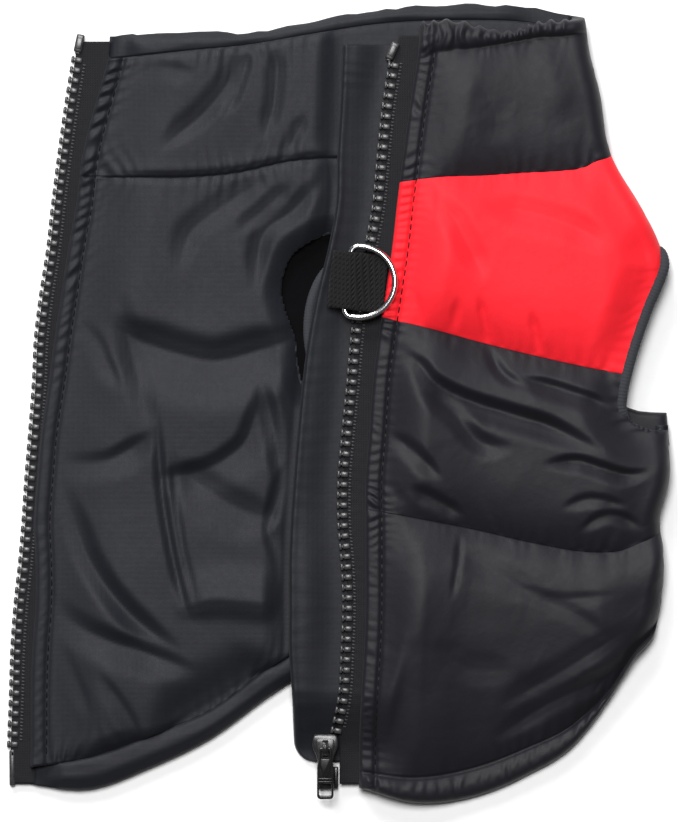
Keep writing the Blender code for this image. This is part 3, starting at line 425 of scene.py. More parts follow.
def left_binding_line(count):
    """Centre of the left armhole's binding, an ellipse in the lower layer."""
    turns = np.arange(count) * 2 * math.pi / count
    (cx, cy), (rx, ry) = BINDING_CENTRE, BINDING_RADII
    return np.stack([cx + rx * np.cos(turns), cy + ry * np.sin(turns)], axis=1)


def onto_rim(grid, loop, keep):
    """Moves the points of kept faces that lie inside a closed line out to it."""
    used = np.zeros(grid.shape[:2], bool)
    for rows, columns in ((0, 0), (0, 1), (1, 0), (1, 1)):
        used[rows:rows + keep.shape[0], columns:columns + keep.shape[1]] |= keep
    used &= within(loop, grid[..., 0], grid[..., 1])
    points = grid[used]
    if len(points):
        away = np.linalg.norm(points[:, None, :2] - loop[None], axis=2)
        points[:, :2] = loop[np.argmin(away, axis=1)]
        grid[used] = points
    return grid


def within(loop, x, y):
    """Which places lie inside a closed line."""
    inside = np.zeros(np.shape(x), bool)
    for (x0, y0), (x1, y1) in zip(loop, np.roll(loop, -1, axis=0)):
        if y0 != y1:
            inside ^= ((y0 > y) != (y1 > y)) & (x < x0 + (x1 - x0) * (y - y0) / (y1 - y0))
    return inside


# ---------------------------------------------------------------- heights
def underlay(x, y):
    """Height of what the upper layer lies on."""
    flap = edge_x("flap", y) - 2.0
    x = flap + (x - flap) * ease((x - edge_x("right_cloth", y) - FLAP_TUCK) / 14.0)
    left = edge_x("left_cloth", y)
    share = (x - left) / (edge_x("fold", y) - left)
    inside = y - seam_y(LOWER_SEAMS, "hem_edge", share)
    return LINING_TOP * ease((inside + DRAPE) / DRAPE)


def zip_stack(from_edge):
    """Extra height over the wind flap and zip tape, gone past the flap's sewn edge."""
    stack = FLAP_WALL + 2 * SEAM_GAP + TAPE_WALL + TAPE_LIFT + SEAM_GAP
    return stack * (1 - ease((from_edge - ZIP_BAND) / 6.0))


def upper_floor(x, y):
    """Underside of the upper layer."""
    height = underlay(x, y)
    return height + LAYER_GAP * height / LINING_TOP + zip_stack(x - edge_x("right_cloth", y))


def zip_base(x, y):
    """Underside of what lies on the lower layer beside the right zip."""
    return underlay(x, y) * (1 + SEAM_GAP / LINING_TOP)


def soft_underlay(x, y):
    """What the upper layer's outer cloth follows: the underlay with its edges smoothed away."""
    spread = ease((x - edge_x("right_cloth", y) - 4.0) / 24.0)
    places = [(across, along) for across in (-13.0, 0.0, 13.0) for along in (-18.0, -6.0, 6.0, 18.0)]
    total = sum(underlay(x + across * spread, y + along * spread) for across, along in places)
    return total / len(places) * (1 + LAYER_GAP / LINING_TOP)


def teeth_low(x, y):
    return zip_base(x, y) + FLAP_WALL + SEAM_GAP


def lining_height(x, y, swell):
    """Upper side of the lining, with its folds where it shows."""
    shows = 1 - ease((x - edge_x("flap", y) + 9.0) / 8.0)
    from_edge = x - edge_x("left_cloth", y)
    body = 4.7 + 1.7 * swell * ease((from_edge - 3.0) / 24.0)
    relief = 2.0 * swell - crease_field(LINING_CREASES, x, y)
    relief += 0.9 * noise(x, y, 38.0, 5) + 0.3 * noise(x, y, 16.0, 9) + 0.08 * crinkle(x, y, 31)
    height = body + shows * relief * ease((from_edge - 4.0) / 24.0)
    return np.clip(height, 3.6, LINING_TOP + 4.4 * shows - 0.4 * (1 - shows))


ZIP_CASING = 5.2
CASING_PITCH = 2.9


# ---------------------------------------------------------------- meshes
def mesh_object(name, points, faces, finish, smooth_faces=True, sharp=None):
    """An object from points in millimetres and faces with counted corners."""
    mesh = bpy.data.meshes.new(name)
    points = np.asarray(points, float) * MM
    mesh.vertices.add(len(points))
    mesh.vertices.foreach_set("co", points.ravel())
    sizes = np.array([len(face) for face in faces])
    mesh.loops.add(int(sizes.sum()))
    mesh.loops.foreach_set("vertex_index", np.concatenate([np.asarray(f) for f in faces]))
    mesh.polygons.add(len(faces))
    mesh.polygons.foreach_set("loop_start", np.concatenate([[0], np.cumsum(sizes)[:-1]]))
    mesh.update(calc_edges=True)
    mesh.validate()
    if smooth_faces:
        mesh.shade_smooth()
        if sharp:
            mesh.set_sharp_from_angle(angle=math.radians(sharp))
    mesh.materials.append(material(finish))
    made = bpy.data.objects.new(name, mesh)
    bpy.context.scene.collection.objects.link(made)
    return made


def sheet_faces(rows, columns, keep=None):
    """Faces of a wall between two grids of rows x columns points, closed round what is kept."""
    index = np.arange(rows * columns).reshape(rows, columns)
    if keep is None:
        keep = np.ones((rows - 1, columns - 1), bool)
    back = rows * columns
    r, c = np.nonzero(keep)
    a, b = index[r, c], index[r, c + 1]
    d, e = index[r + 1, c], index[r + 1, c + 1]
    quads = [np.stack([a, b, e, d], axis=1), np.stack([a, d, e, b], axis=1) + back]
    padded_keep = np.pad(keep, 1)
    for dr, dc in ((-1, 0), (1, 0), (0, -1), (0, 1)):
        beyond = padded_keep[1 + dr:rows + dr, 1 + dc:columns + dc]
        r, c = np.nonzero(keep & ~beyond)
        if dr:
            row = r + (dr > 0)
            first, last = index[row, c], index[row, c + 1]
            flip = dr > 0
        else:
            col = c + (dc > 0)
            first, last = index[r, col], index[r + 1, col]
            flip = dc < 0
        if flip:
            first, last = last, first
        quads.append(np.stack([last, first, first + back, last + back], axis=1))
    return np.concatenate(quads)


def sheet_object(name, outer, inner, finish, keep=None):
    """A cloth wall between two grids of points, shaped (rows, columns, 3)."""
    rows, columns = outer.shape[:2]
    faces = sheet_faces(rows, columns, keep)
    points = np.concatenate([outer.reshape(-1, 3), inner.reshape(-1, 3)])
    used = np.unique(faces)
    place = np.full(len(points), -1)
    place[used] = np.arange(len(used))
    return mesh_object(name, points[used], place[faces], finish)


class Lump(NamedTuple):
    """Points and faces of a shape that is repeated or joined into a piece."""
    points: np.ndarray
    faces: list


def join(lumps):
    points = []
    faces = []
    count = 0
    for lump in lumps:
        points.append(np.asarray(lump.points, float))
        faces += [tuple(int(i) + count for i in face) for face in lump.faces]
        count += len(lump.points)
    return Lump(np.concatenate(points), faces)


def rings(loops, caps=True):
    """A closed skin through loops of equal point counts."""
    loops = np.asarray(loops, float)
    count, sides = loops.shape[:2]
    faces = []
    for k in range(count - 1):
        for s in range(sides):
            n = (s + 1) % sides
            faces.append((k * sides + s, k * sides + n, (k + 1) * sides + n, (k + 1) * sides + s))
    if caps:
        faces.append(tuple(reversed(range(sides))))
        faces.append(tuple((count - 1) * sides + s for s in range(sides)))
    return Lump(loops.reshape(-1, 3), faces)


def tube_rings(line, radius, sides, closed=False):
    """A cord of given radius (number or list) along a line of points."""
    line = np.asarray(line, float)
    if closed:
        runs = np.roll(line, -1, axis=0) - np.roll(line, 1, axis=0)
    else:
        runs = np.gradient(line, axis=0)
    runs /= np.linalg.norm(runs, axis=1)[:, None]
    up = np.array([0.0, 0.0, 1.0])
    across = np.cross(runs, up)
    flat = np.linalg.norm(across, axis=1) < 1e-6
    across[flat] = (1.0, 0.0, 0.0)
    across /= np.linalg.norm(across, axis=1)[:, None]
    lift = np.cross(across, runs)
    radius = np.broadcast_to(np.asarray(radius, float), (len(line),))
    turns = np.arange(sides) * 2 * math.pi / sides
    loops = (line[:, None] + radius[:, None, None] * (np.cos(turns)[None, :, None] * across[:, None]
             + np.sin(turns)[None, :, None] * lift[:, None]))
    lump = rings(loops, caps=not closed)
    if closed:
        last = (len(line) - 1) * sides
        lump.faces.extend((last + s, last + (s + 1) % sides, (s + 1) % sides, s) for s in range(sides))
    return lump


def capsule(start, end, radius, sides=6):
    """A stitch: a short thread with rounded ends, from start to end, bulging up."""
    start, end = np.asarray(start, float), np.asarray(end, float)
    shares = np.array([0.0, 0.12, 0.5, 0.88, 1.0])
    widths = np.array([0.25, 0.85, 1.0, 0.85, 0.25]) * radius
    line = start + (end - start) * shares[:, None]
    line[:, 2] += radius * np.array([-0.9, -0.1, 0.25, -0.1, -0.9])
    return tube_rings(line, widths, sides)


def taken_from(bm):
    """The lump that a finished bmesh holds; frees the bmesh."""
    bm.verts.ensure_lookup_table()
    lump = Lump(np.array([v.co for v in bm.verts]), [tuple(v.index for v in f.verts) for f in bm.faces])
    bm.free()
    return lump


def soft_box(size, bevel, place=(0.0, 0.0, 0.0), turn=0.0, steps=3):
    """A moulded block with rounded edges and corners."""
    bm = bmesh.new()
    bmesh.ops.create_cube(bm, size=1.0)
    bmesh.ops.scale(bm, vec=Vector(size), verts=bm.verts)
    bmesh.ops.bevel(bm, geom=bm.edges[:], offset=bevel, segments=steps, profile=0.5, affect="EDGES")
    bmesh.ops.rotate(bm, matrix=Matrix.Rotation(math.radians(turn), 3, "Z"), verts=bm.verts)
    bmesh.ops.translate(bm, vec=Vector(place), verts=bm.verts)
    return taken_from(bm)


def prism(outline, low, high, bevel):
    """A moulded plate of an outline, with a rounded rim above and below."""
    bm = bmesh.new()
    floor = bm.faces.new([bm.verts.new((x, y, low)) for x, y in outline])
    raised = bmesh.ops.extrude_face_region(bm, geom=[floor])
    moved = [v for v in raised["geom"] if isinstance(v, bmesh.types.BMVert)]
    bmesh.ops.translate(bm, verts=moved, vec=(0.0, 0.0, high - low))
    bmesh.ops.recalc_face_normals(bm, faces=bm.faces)
    rim = [e for e in bm.edges if abs(e.verts[0].co.z - e.verts[1].co.z) < 1e-6]
    bmesh.ops.bevel(bm, geom=rim, offset=bevel, segments=2, profile=0.5, affect="EDGES")
    return taken_from(bm)


def moved(lump, shift=(0, 0, 0), turn=0.0, scale=(1, 1, 1)):
    """A lump scaled, turned about Z in degrees and shifted."""
    c, s = math.cos(math.radians(turn)), math.sin(math.radians(turn))
    points = lump.points * np.asarray(scale, float)
    points = points @ np.array([[c, s, 0], [-s, c, 0], [0, 0, 1]])
    return Lump(points + np.asarray(shift, float), lump.faces)


def lump_object(name, lump, finish, sharp=None):
    return mesh_object(name, lump.points, lump.faces, finish, sharp=sharp)


def placed(made, body="coat", replaces=()):
    """Ties a piece to its body and hides the solids that it stands for."""
    if replaces:
        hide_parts(*replaces)
    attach(made, body)
    return made


class Cut(NamedTuple):
    """The flat cut of what shows of a sheet (metres and square metres), how it is held, and on what."""
    width: float
    length: float
    area: float
    held: str
    rests_on: tuple


def as_sheet(made):
    """Returns a placed piece unchanged."""
    return made


# ---------------------------------------------------------------- materials
class Nodes:
    """Short names for adding and linking the nodes of one material."""

    def __init__(self, name):
        self.material = bpy.data.materials.new(name)
        self.material.use_nodes = True
        self.tree = self.material.node_tree
        self.shader = self.tree.nodes["Principled BSDF"]
        self.place = self.add("ShaderNodeTexCoord").outputs["Object"]

    def add(self, kind, inputs=None, **settings):
        node = self.tree.nodes.new(kind)
        for key, value in settings.items():
            setattr(node, key, value)
        for key, value in (inputs or {}).items():
            if isinstance(value, bpy.types.NodeSocket):
                self.tree.links.new(value, node.inputs[key])
            else:
                node.inputs[key].default_value = value
        return node

    def math(self, operation, first, second=0.0, third=0.0):
        node = self.add("ShaderNodeMath", {0: first, 1: second, 2: third}, operation=operation)
        return node.outputs[0]

    def turned(self, degrees):
        turn = (0.0, 0.0, math.radians(degrees))
        return self.add("ShaderNodeMapping", {"Vector": self.place, "Rotation": turn}).outputs[0]

    def threads(self, where, pitch, direction):
        """Ridges across X or Y, pitch in metres."""
        wave = self.add("ShaderNodeTexWave", {"Vector": where, "Scale": 0.31416 / pitch},
                        bands_direction=direction)
        return wave.outputs["Fac"]

    def noise(self, size, detail=2.0, where=None):
        texture = self.add("ShaderNodeTexNoise", {"Vector": where or self.place, "Scale": 1.0 / size,
                                                  "Detail": detail})
        return texture.outputs["Fac"]

    def between(self, value, low, high):
        """A 0 to 1 value spread between low and high."""
        spread = self.add("ShaderNodeMapRange", {"Value": value, "To Min": low, "To Max": high})
        return spread.outputs[0]

    def mix(self, value, first, second):
        node = self.add("ShaderNodeMix", data_type="RGBA")
        self.tree.links.new(value, node.inputs["Factor"])
        node.inputs["A"].default_value = (*first, 1.0)
        node.inputs["B"].default_value = (*second, 1.0)
        return node.outputs["Result"]

    def raise_surface(self, height, distance, after=None, strength=1.0):
        """Bump of height (0 to 1) times distance in metres."""
        inputs = {"Height": height, "Distance": distance, "Strength": strength}
        if after:
            inputs["Normal"] = after
        return self.add("ShaderNodeBump", inputs).outputs[0]

    def set(self, **values):
        for key, value in values.items():
            socket = self.shader.inputs[key.replace("_", " ")]
            if isinstance(value, bpy.types.NodeSocket):
                self.tree.links.new(value, socket)
            else:
                socket.default_value = value


def settings():
    return bpy.context.scene.padded_coat


def shade(colour, amount):
    return tuple(min(1.0, part * amount) for part in colour)


def cloth(name, colour, roughness, pitch, relief, shine, wrinkle=0.00012, turn=0.0, twill=False):
    """A woven cloth: threads, small wrinkles, uneven colour and a soft sheen."""
    nodes = Nodes(name)
    where = nodes.turned(turn)
    warp = nodes.threads(where, pitch, "X")
    weft = nodes.threads(where, pitch, "DIAGONAL" if twill else "Y")
    weave = nodes.math("MAXIMUM", warp, weft)
    blotch = nodes.noise(0.012, 4.0)
    worn = nodes.noise(0.0018, 3.0)
    tone = nodes.math("MULTIPLY", nodes.between(blotch, 0.55, 1.0), nodes.between(weave, 0.72, 1.0))
    nodes.set(Base_Color=nodes.mix(tone, shade(colour, 0.6), shade(colour, 1.2)),
              Roughness=nodes.between(worn, roughness - 0.05, roughness + 0.08),
              Specular_IOR_Level=shine, Sheen_Weight=0.03, Sheen_Roughness=0.5)
    small = nodes.raise_surface(worn, wrinkle)
    nodes.set(Normal=nodes.raise_surface(weave, relief, after=small))
    return nodes.material


def make_black_shell(name):
    return cloth(name, tuple(settings().shell_colour), 0.5, 0.0003, 0.00002, 0.2, wrinkle=0.00006)


def make_red_shell(name):
    return cloth(name, tuple(settings().yoke_colour), 0.58, 0.0003, 0.00002, 0.16, wrinkle=0.00006)


def make_lining(name):
    return cloth(name, tuple(settings().lining_colour), 0.52, 0.0004, 0.00003, 0.2, wrinkle=0.00004)


# Painted shade: a near-black cloth, darker than the shell, put in the left armhole's hollow to stand for its
# shade.
def make_armhole_painted_shade(name):
    return cloth(name, (0.0025, 0.0025, 0.003), 0.85, 0.0006, 0.00003, 0.04)


def make_binding(name):
    return cloth(name, tuple(settings().binding_colour), 0.85, 0.0005, 0.00008, 0.15)


def make_tape(name):
    return cloth(name, (0.0122, 0.0124, 0.0142), 0.8, 0.00055, 0.00012, 0.15, turn=45.0, twill=True)


def make_webbing(name):
    return cloth(name, (0.007, 0.007, 0.0075), 0.75, 0.0011, 0.0003, 0.15, turn=38.0, twill=True)


def make_thread(name):
    return cloth(name, (0.005, 0.005, 0.0055), 0.8, 0.00025, 0.00006, 0.08, turn=45.0)


def make_tape_thread(name):
    return cloth(name, (0.055, 0.055, 0.058), 0.55, 0.00025, 0.00006, 0.4, turn=45.0)


def plastic(name, colour, roughness):
    """Moulded zip plastic, faintly uneven and scuffed."""
    nodes = Nodes(name)
    scuff = nodes.noise(0.0012, 4.0)
    grain = nodes.noise(0.0003, 2.0)
    nodes.set(Base_Color=nodes.mix(scuff, shade(colour, 0.8), shade(colour, 1.2)),
              Roughness=nodes.between(scuff, roughness - 0.06, roughness + 0.12))
    nodes.set(Normal=nodes.raise_surface(grain, 0.00002))
    return nodes.material


def make_teeth(name):
    return plastic(name, (0.030, 0.030, 0.032), 0.28)


def make_slider(name):
    return plastic(name, (0.009, 0.009, 0.010), 0.26)


def make_ring_metal(name):
    """Polished nickel with fine handling marks."""
    nodes = Nodes(name)
    marks = nodes.noise(0.0006, 3.0)
    nodes.set(Base_Color=nodes.mix(marks, (0.70, 0.70, 0.72), (0.84, 0.84, 0.86)), Metallic=1.0,
              Roughness=nodes.between(marks, 0.10, 0.24))
    nodes.set(Normal=nodes.raise_surface(marks, 0.00001))
    return nodes.material


def make_floor(name):
    nodes = Nodes(name)
    grain = nodes.noise(0.004, 3.0)
    nodes.set(Base_Color=nodes.mix(grain, (0.88, 0.88, 0.88), (0.92, 0.92, 0.92)), Roughness=0.8)
    return nodes.material


MATERIAL_MAKERS = {
    "black_nylon": make_black_shell, "red_nylon": make_red_shell, "lining_nylon": make_lining,
    "matt_black": make_armhole_painted_shade, "binding_knit": make_binding, "zip_weave": make_tape,
    "belt_webbing": make_webbing, "sewing_thread": make_thread, "tape_thread": make_tape_thread,
    "tooth_plastic": make_teeth, "slider_plastic": make_slider, "nickel": make_ring_metal,
    "paper_floor": make_floor,
}


def material(finish):
    """The material of a finish, made when it is first asked for."""
    return bpy.data.materials.get(finish) or MATERIAL_MAKERS[finish](finish)


# ---------------------------------------------------------------- shell
UPPER_SHARES = np.concatenate([np.linspace(0.0, 0.075, 24), np.linspace(0.075, 1.0, 112)[1:]])
BEND_TURNS = math.pi * (0.5 - np.arange(1, 16) / 16)
LOWER_SHARES = np.concatenate([np.linspace(1.0, 0.06, 44), [0.05, 0.028, 0.012, 0.0]])


def span_rows(span, first):
    """Shares up a span; one that lies on another leaves its first row to the one below."""
    shares = (1 - np.cos(np.linspace(0, math.pi, span.rows))) / 2
    shares = 0.35 * shares + 0.65 * np.linspace(0, 1, span.rows)
    return shares if first else shares[1:]


def span_place(table, span, rows, shares, whole):
    """Y of each point and the span's length there."""
    low = seam_y(table, span.low, shares)
    high = seam_y(table, span.high, shares)
    low = low - (SEAM_LAP if whole[0] else 0.0)
    high = high + (SEAM_LAP if whole[1] else 0.0)
    return low + (high - low) * rows[:, None], np.broadcast_to(high - low, (len(rows), len(shares)))


def zip_edge_thinning(from_edge):
    return ease((ZIP_BAND + 3.0 - from_edge) / 3.8)


def shell_top(x, y, share, span, rows, length):
    """Outer surface of the upper layer."""
    v = rows[:, None]
    from_edge = x - edge_x("right_cloth", y)
    floor = soft_underlay(x, y) + zip_stack(0.0) * (1 - ease((from_edge - 6.0) / 34.0))
    wall = CASING_WALL + (SEAM_WALL - CASING_WALL) * ease(from_edge / 10.0)
    ends = np.minimum(v, 1 - v) * length
    pucker = gathers(y, from_edge, CASING_PITCH, 41)
    zip_casing = bump((from_edge - 2.4) / 2.4) * (0.4 + 0.5 * pucker)
    zip_casing -= 0.7 * bump((from_edge - ZIP_CASING) / 0.75)
    beyond = np.clip(from_edge - ZIP_CASING, 0, None)
    zip_casing += 0.3 * pucker * np.exp(-beyond / 2.2) * ease((from_edge - ZIP_CASING) / 1.0)
    fine = 0.32 * noise(x, y, 21.0, 3) + 0.15 * noise(x, y, 9.0, 4) + 0.14 * crinkle(x, y, 11)
    if span.puff:
        profile = 1 - np.abs(2 * v - 1) ** 2.8
        rise = PUFF_RISE * span.puff * profile * ease((from_edge - 4.5) / 15.0)
        rise = rise * (1.0 - 0.42 * ease((share - 0.82) / 0.18))
        near, _, _ = polyline_distance(armhole_line()[ARMHOLE_NEAR], x, y)
        rise = rise * ease(near / PINCH_RUN)
        height = rise + fine * (0.25 + 0.75 * profile) * ease((from_edge - 5.5) / 7.0)
        low_ends, high_ends = v * length, (1 - v) * length
        seam = gathers(x, low_ends, 4.8, 21) * np.exp(-low_ends / 3.0)
        seam += 0.5 * gathers(x, high_ends, 3.4, 23) * np.exp(-high_ends / 2.0)
        seam += 0.5 * gathers(x, ends, 9.0, 27) * np.exp(-ends / 7.0)
        height = height + 0.42 * seam * ease((from_edge - 6.5) / 5.0) * ease(ends / 1.0)
        height = height - crease_field(SHELL_CREASES, x, y) * np.minimum(1.0, rise / 3.0)
        height = height + 0.4 * gathers(y, near, 3.6, 33) * bump(near / 5.0)
    else:
        tube = np.sqrt(np.clip(1 - (2 * v - 1) ** 2, 0, 1))
        depth = 0.55 if is_free(span) else 0.22
        gathered = gathers(x, ends, 4.2, 51) + gathers(x, ends, 2.6, 55)
        height = tube * (2.2 + depth * gathered) - 0.8 * (1 - tube)
        height = height * ease((from_edge + 2.0) / 6.0)
    rounded = np.sqrt(1 - (1 - np.clip(from_edge / 1.2, 0, 1)) ** 2)
    top = floor + (wall + height + zip_casing) * (0.3 + 0.7 * rounded)
    return np.maximum(top, upper_floor(x, y) + 0.9 * (0.3 + 0.7 * rounded))


def is_free(span):
    """Whether a span ends in the neck's free edge, which its gathers ruffle."""
    return "neck_edge" in (span.low, span.high)


def upper_rows(span, rows, whole):
    """Outer and inner points of the upper layer, from the zip to the fold."""
    y, length = span_place(UPPER_SEAMS, span, rows, UPPER_SHARES, whole)
    start = edge_x("right_cloth", y)
    x = start + (edge_x("fold", y) - FOLD_RADIUS - start) * UPPER_SHARES
    top = shell_top(x, y, UPPER_SHARES, span, rows, length)
    ruffled = y + (0.8 * gathers(x, 0 * x, 4.2, 51) * rows[:, None] ** 3 if is_free(span) else 0.0)
    return np.stack([x, ruffled, top], axis=2), np.stack([x, ruffled, upper_floor(x, y)], axis=2), x, y


def fold_rows(span, rows, whole, x, y, top):
    """Outer and inner points round the fold, from the last points of the upper layer."""
    lower_y, _ = span_place(LOWER_SEAMS, span, rows, LOWER_SHARES[:1], whole)
    gone = (0.5 - BEND_TURNS / math.pi)[None, :]
    bend_y = y + (lower_y - y) * gone
    bend_x = edge_x("fold", y) * (1 - gone) + edge_x("fold", lower_y) * gone - FOLD_RADIUS
    cos, sin = np.cos(BEND_TURNS), np.sin(BEND_TURNS)
    wrinkle = 0.35 * crinkle(bend_y, 8 * BEND_TURNS[None, :] + 0 * bend_y, 61)
    outer = np.stack([bend_x + (FOLD_RADIUS + wrinkle) * cos, bend_y, top / 2 * (1 + sin)], axis=2)
    inside = upper_floor(x, y)
    middle, half = (inside + SHELL_WALL) / 2, (inside - SHELL_WALL) / 2
    inner = np.stack([bend_x + FOLD_INNER_RADIUS * cos, bend_y, middle + half * sin], axis=2)
    return outer, inner


def lower_rows(span, rows, whole):
    """Outer and inner points of the lower layer, from the fold to the left zip tape."""
    y, length = span_place(LOWER_SEAMS, span, rows, LOWER_SHARES, whole)
    start = edge_x("left_cloth", y)
    x = start + (edge_x("fold", y) - FOLD_RADIUS - start) * LOWER_SHARES
    v = rows[:, None]
    ends = np.minimum(v, 1 - v) * length
    thin = zip_edge_thinning(x - start)
    under = 0.55 * bump(ends / 1.4) + 0.25 * (1 + gathers(x, ends, 4.4, 22)) * np.exp(-ends / 4.0)
    wall = SHELL_WALL - (SHELL_WALL - ZIP_EDGE_WALL) * thin
    if not span.puff:
        over_tape = 1.6 * thin * ease((x - start) / 0.8)
        tube = np.sqrt(np.clip(1 - (2 * v - 1) ** 2, 0, 1))
        seam_side = 1 - v if span.low == "neck_stitch" else v
        swell = tube * (0.9 + 0.35 * gathers(x, ends, 3.0, 53)) + 1.5 * ease(seam_side / 0.5)
        swell += 0.5 * gathers(x, ends, 2.7, 57) * bump((1 - seam_side) / 0.35)
        wall = wall + swell * (1 - thin) * (1 - ease((LOWER_SHARES - 0.85) / 0.1)) + over_tape
    under = under * (1 - thin) * (1 - ease((LOWER_SHARES - 0.9) / 0.1))
    ruffled = y + (0.5 * gathers(x, 0 * x, 3.8, 53) * rows[:, None] ** 3 if is_free(span) else 0.0)
    hole = left_armhole_line()
    near_hole, _, _ = polyline_distance(hole, x, y, closed=True)
    sunk = within(hole, x, y) * ease(near_hole / 1.5)
    wall = wall - sunk * np.clip(0.6 + 0.16 * (x + 18.0), 0.6, 2.3)
    return (np.stack([x, ruffled, under], axis=2),
            np.stack([x, ruffled, np.maximum(wall, under + 0.3)], axis=2))


def shell_rows(span, first, last):
    """Outer and inner points of a span of a panel, over the fold."""
    rows = span_rows(span, first)
    whole = (first, last)
    outer, inner, x, y = upper_rows(span, rows, whole)
    fold_outer, fold_inner = fold_rows(span, rows, whole, x[:, -1:], y[:, -1:], outer[:, -1:, 2])
    lower_outer, lower_inner = lower_rows(span, rows, whole)
    return (np.concatenate([outer, fold_outer, lower_outer], axis=1),
            np.concatenate([inner, fold_inner, lower_inner], axis=1))


SHELL_HOLE_CENTRE = (7.0, 24.0)
SHELL_HOLE_RADII = (9.5, 22.5)


def armhole_keep(outer):
    """Which faces of a panel stay beside the right armhole, in the upper and the lower layer."""
    centre = (outer[:-1, :-1] + outer[1:, :-1] + outer[:-1, 1:] + outer[1:, 1:]) / 4
    x, y = centre[..., 0], centre[..., 1]
    keep = np.ones(x.shape, bool)
    line = armhole_line()
    upper_columns = len(UPPER_SHARES) + len(BEND_TURNS) // 2
    for part, columns in ((ARMHOLE_NEAR, slice(0, upper_columns)),
                          (ARMHOLE_FAR, slice(upper_columns, None))):
        points = line[part]
        points = points[np.argsort(points[:, 1])]
        limit = np.interp(y, points[:, 1], points[:, 0], left=1e9, right=1e9)
        keep[:, columns] &= (x < limit + 0.2)[:, columns]
    cx, cy = SHELL_HOLE_CENTRE
    rx, ry = SHELL_HOLE_RADII
    in_hole = ((x - cx) / rx) ** 2 + ((y - cy) / ry) ** 2 < 1.0
    keep[:, upper_columns:] &= ~in_hole[:, upper_columns:]
    return keep


def line_inside(made, inner):
    """Gives the inner side of a panel the lining's cloth, and a near-black painted shade inside the left
    armhole, where the hollow lies in shade.
    """
    mesh = made.data
    mesh.materials.append(material("lining_nylon"))
    co = np.empty(len(mesh.vertices) * 3)
    mesh.vertices.foreach_get("co", co)
    known = {tuple(point) for point in np.round(inner.reshape(-1, 3), 4)}
    inside = np.array([tuple(point) in known for point in np.round(co.reshape(-1, 3) / MM, 4)])
    mesh.materials.append(material("matt_black"))
    middles = np.array([tuple(face.center) for face in mesh.polygons]) / MM
    from_hole, _, _ = polyline_distance(left_armhole_line(), middles[:, 0], middles[:, 1], closed=True)
    # Painted shade: faces in and round the left armhole get the near-black cloth that stands for the hollow's
    # shade.
    painted_shade_faces = within(left_armhole_line(), middles[:, 0], middles[:, 1]) | (from_hole < 4.0)
    turned_in = np.array([inside[list(face.vertices)].any() for face in mesh.polygons])
    mesh.polygons.foreach_set("material_index", (turned_in * np.where(painted_shade_faces, 2, 1)).tolist())


def build_shell(name):
    finish = "red_nylon" if name == "shell_yoke" else "black_nylon"
    outers, inners = [], []
    spans = PANELS[name]
    for k, span in enumerate(spans):
        outer, inner = shell_rows(span, k == 0, k == len(spans) - 1)
        outers.append(outer)
        inners.append(inner)
    outer, inner = np.concatenate(outers), np.concatenate(inners)
    keep = armhole_keep(outer) if name in ("shell_yoke", "shell_upper") else None
    made = sheet_object(name + "_cloth", outer, inner, finish, keep)
    line_inside(made, inner)
    return placed(made, replaces=(name,))


# ---------------------------------------------------------------- lining
LINING_SHARES = np.concatenate([np.linspace(0.0, 0.06, 22), np.linspace(0.06, 0.48, 112)[1:],
                                np.linspace(0.48, 0.95, 34)[1:]])


def build_lining(name):
    low_name, high_name, count = LINING_PANELS[name]
    rows = np.linspace(0, 1, count)[:, None]
    low = seam_y(LOWER_SEAMS, low_name, LINING_SHARES) - SEAM_LAP
    high = seam_y(LOWER_SEAMS, high_name, LINING_SHARES) + SEAM_LAP
    y = low + (high - low) * rows
    left = edge_x("left_cloth", y)
    x = left + (edge_x("fold", y) - FOLD_RADIUS - left) * LINING_SHARES
    from_edge = x - left
    ends = np.minimum(rows, 1 - rows) * (high - low)
    swell = 1 - 0.35 * bump(ends / 1.4) - 0.06 * bump(ends / 7.0)
    height = lining_height(x, y, swell)
    if name == "lining_collar":
        height += 0.45 * bump(rows * (high - low) / 3.6) * ease((from_edge - 7.0) / 5.0)
    pucker = gathers(y - 0.75 * from_edge, from_edge, 4.2, 71) * (0.15 + 0.85 * ease((y + 10.0) / 90.0))
    casing = bump((from_edge - 2.3) / 2.4) * (0.6 + 0.8 * pucker)
    casing -= 0.6 * bump((from_edge - ZIP_CASING) / 0.8)
    beyond = np.clip(from_edge - ZIP_CASING, 0, None)
    casing += 0.3 * pucker * np.exp(-beyond / 4.0) * ease((from_edge - 5) / 2)
    seam = 0.5 * gathers(x, ends, 4.6, 73) * np.exp(-ends / 4.5) * ease(ends / 1.0)
    hole, _, _ = polyline_distance(left_armhole_line(), x, y, closed=True)
    dip = ARMHOLE_DIP * np.clip(1 - hole / ARMHOLE_DIP_RUN, 0, 1) ** 1.4 * (1 - ease((x + 4.0) / 6.0))
    thin = zip_edge_thinning(from_edge)
    lift = LINING_UNDERSIDE - (LINING_UNDERSIDE - LINING_ZIP_UNDERSIDE) * thin
    rounded = np.sqrt(1 - (1 - np.clip(from_edge / 1.1, 0, 1)) ** 2)
    height = lift + (height + casing + seam - dip - lift) * (0.25 + 0.75 * rounded)
    outer = np.stack([x, y, height], axis=2)
    inner = np.stack([x, y, np.maximum(height - LINING_WALL, lift - 0.1)], axis=2)
    centre = (outer[:-1, :-1] + outer[1:, 1:]) / 2
    keep = ~within(left_armhole_line(), centre[..., 0], centre[..., 1])
    line = armhole_line()[ARMHOLE_FAR]
    line = line[np.argsort(line[:, 1])]
    limit = np.interp(centre[..., 1], line[:, 1], line[:, 0], left=1e9, right=1e9)
    keep &= centre[..., 0] < limit + 0.2
    outer, inner = (onto_rim(grid, left_armhole_line(), keep) for grid in (outer, inner))
    made = sheet_object(name + "_cloth", outer, inner, "lining_nylon", keep)
    return as_sheet(placed(made, replaces=(name,)))


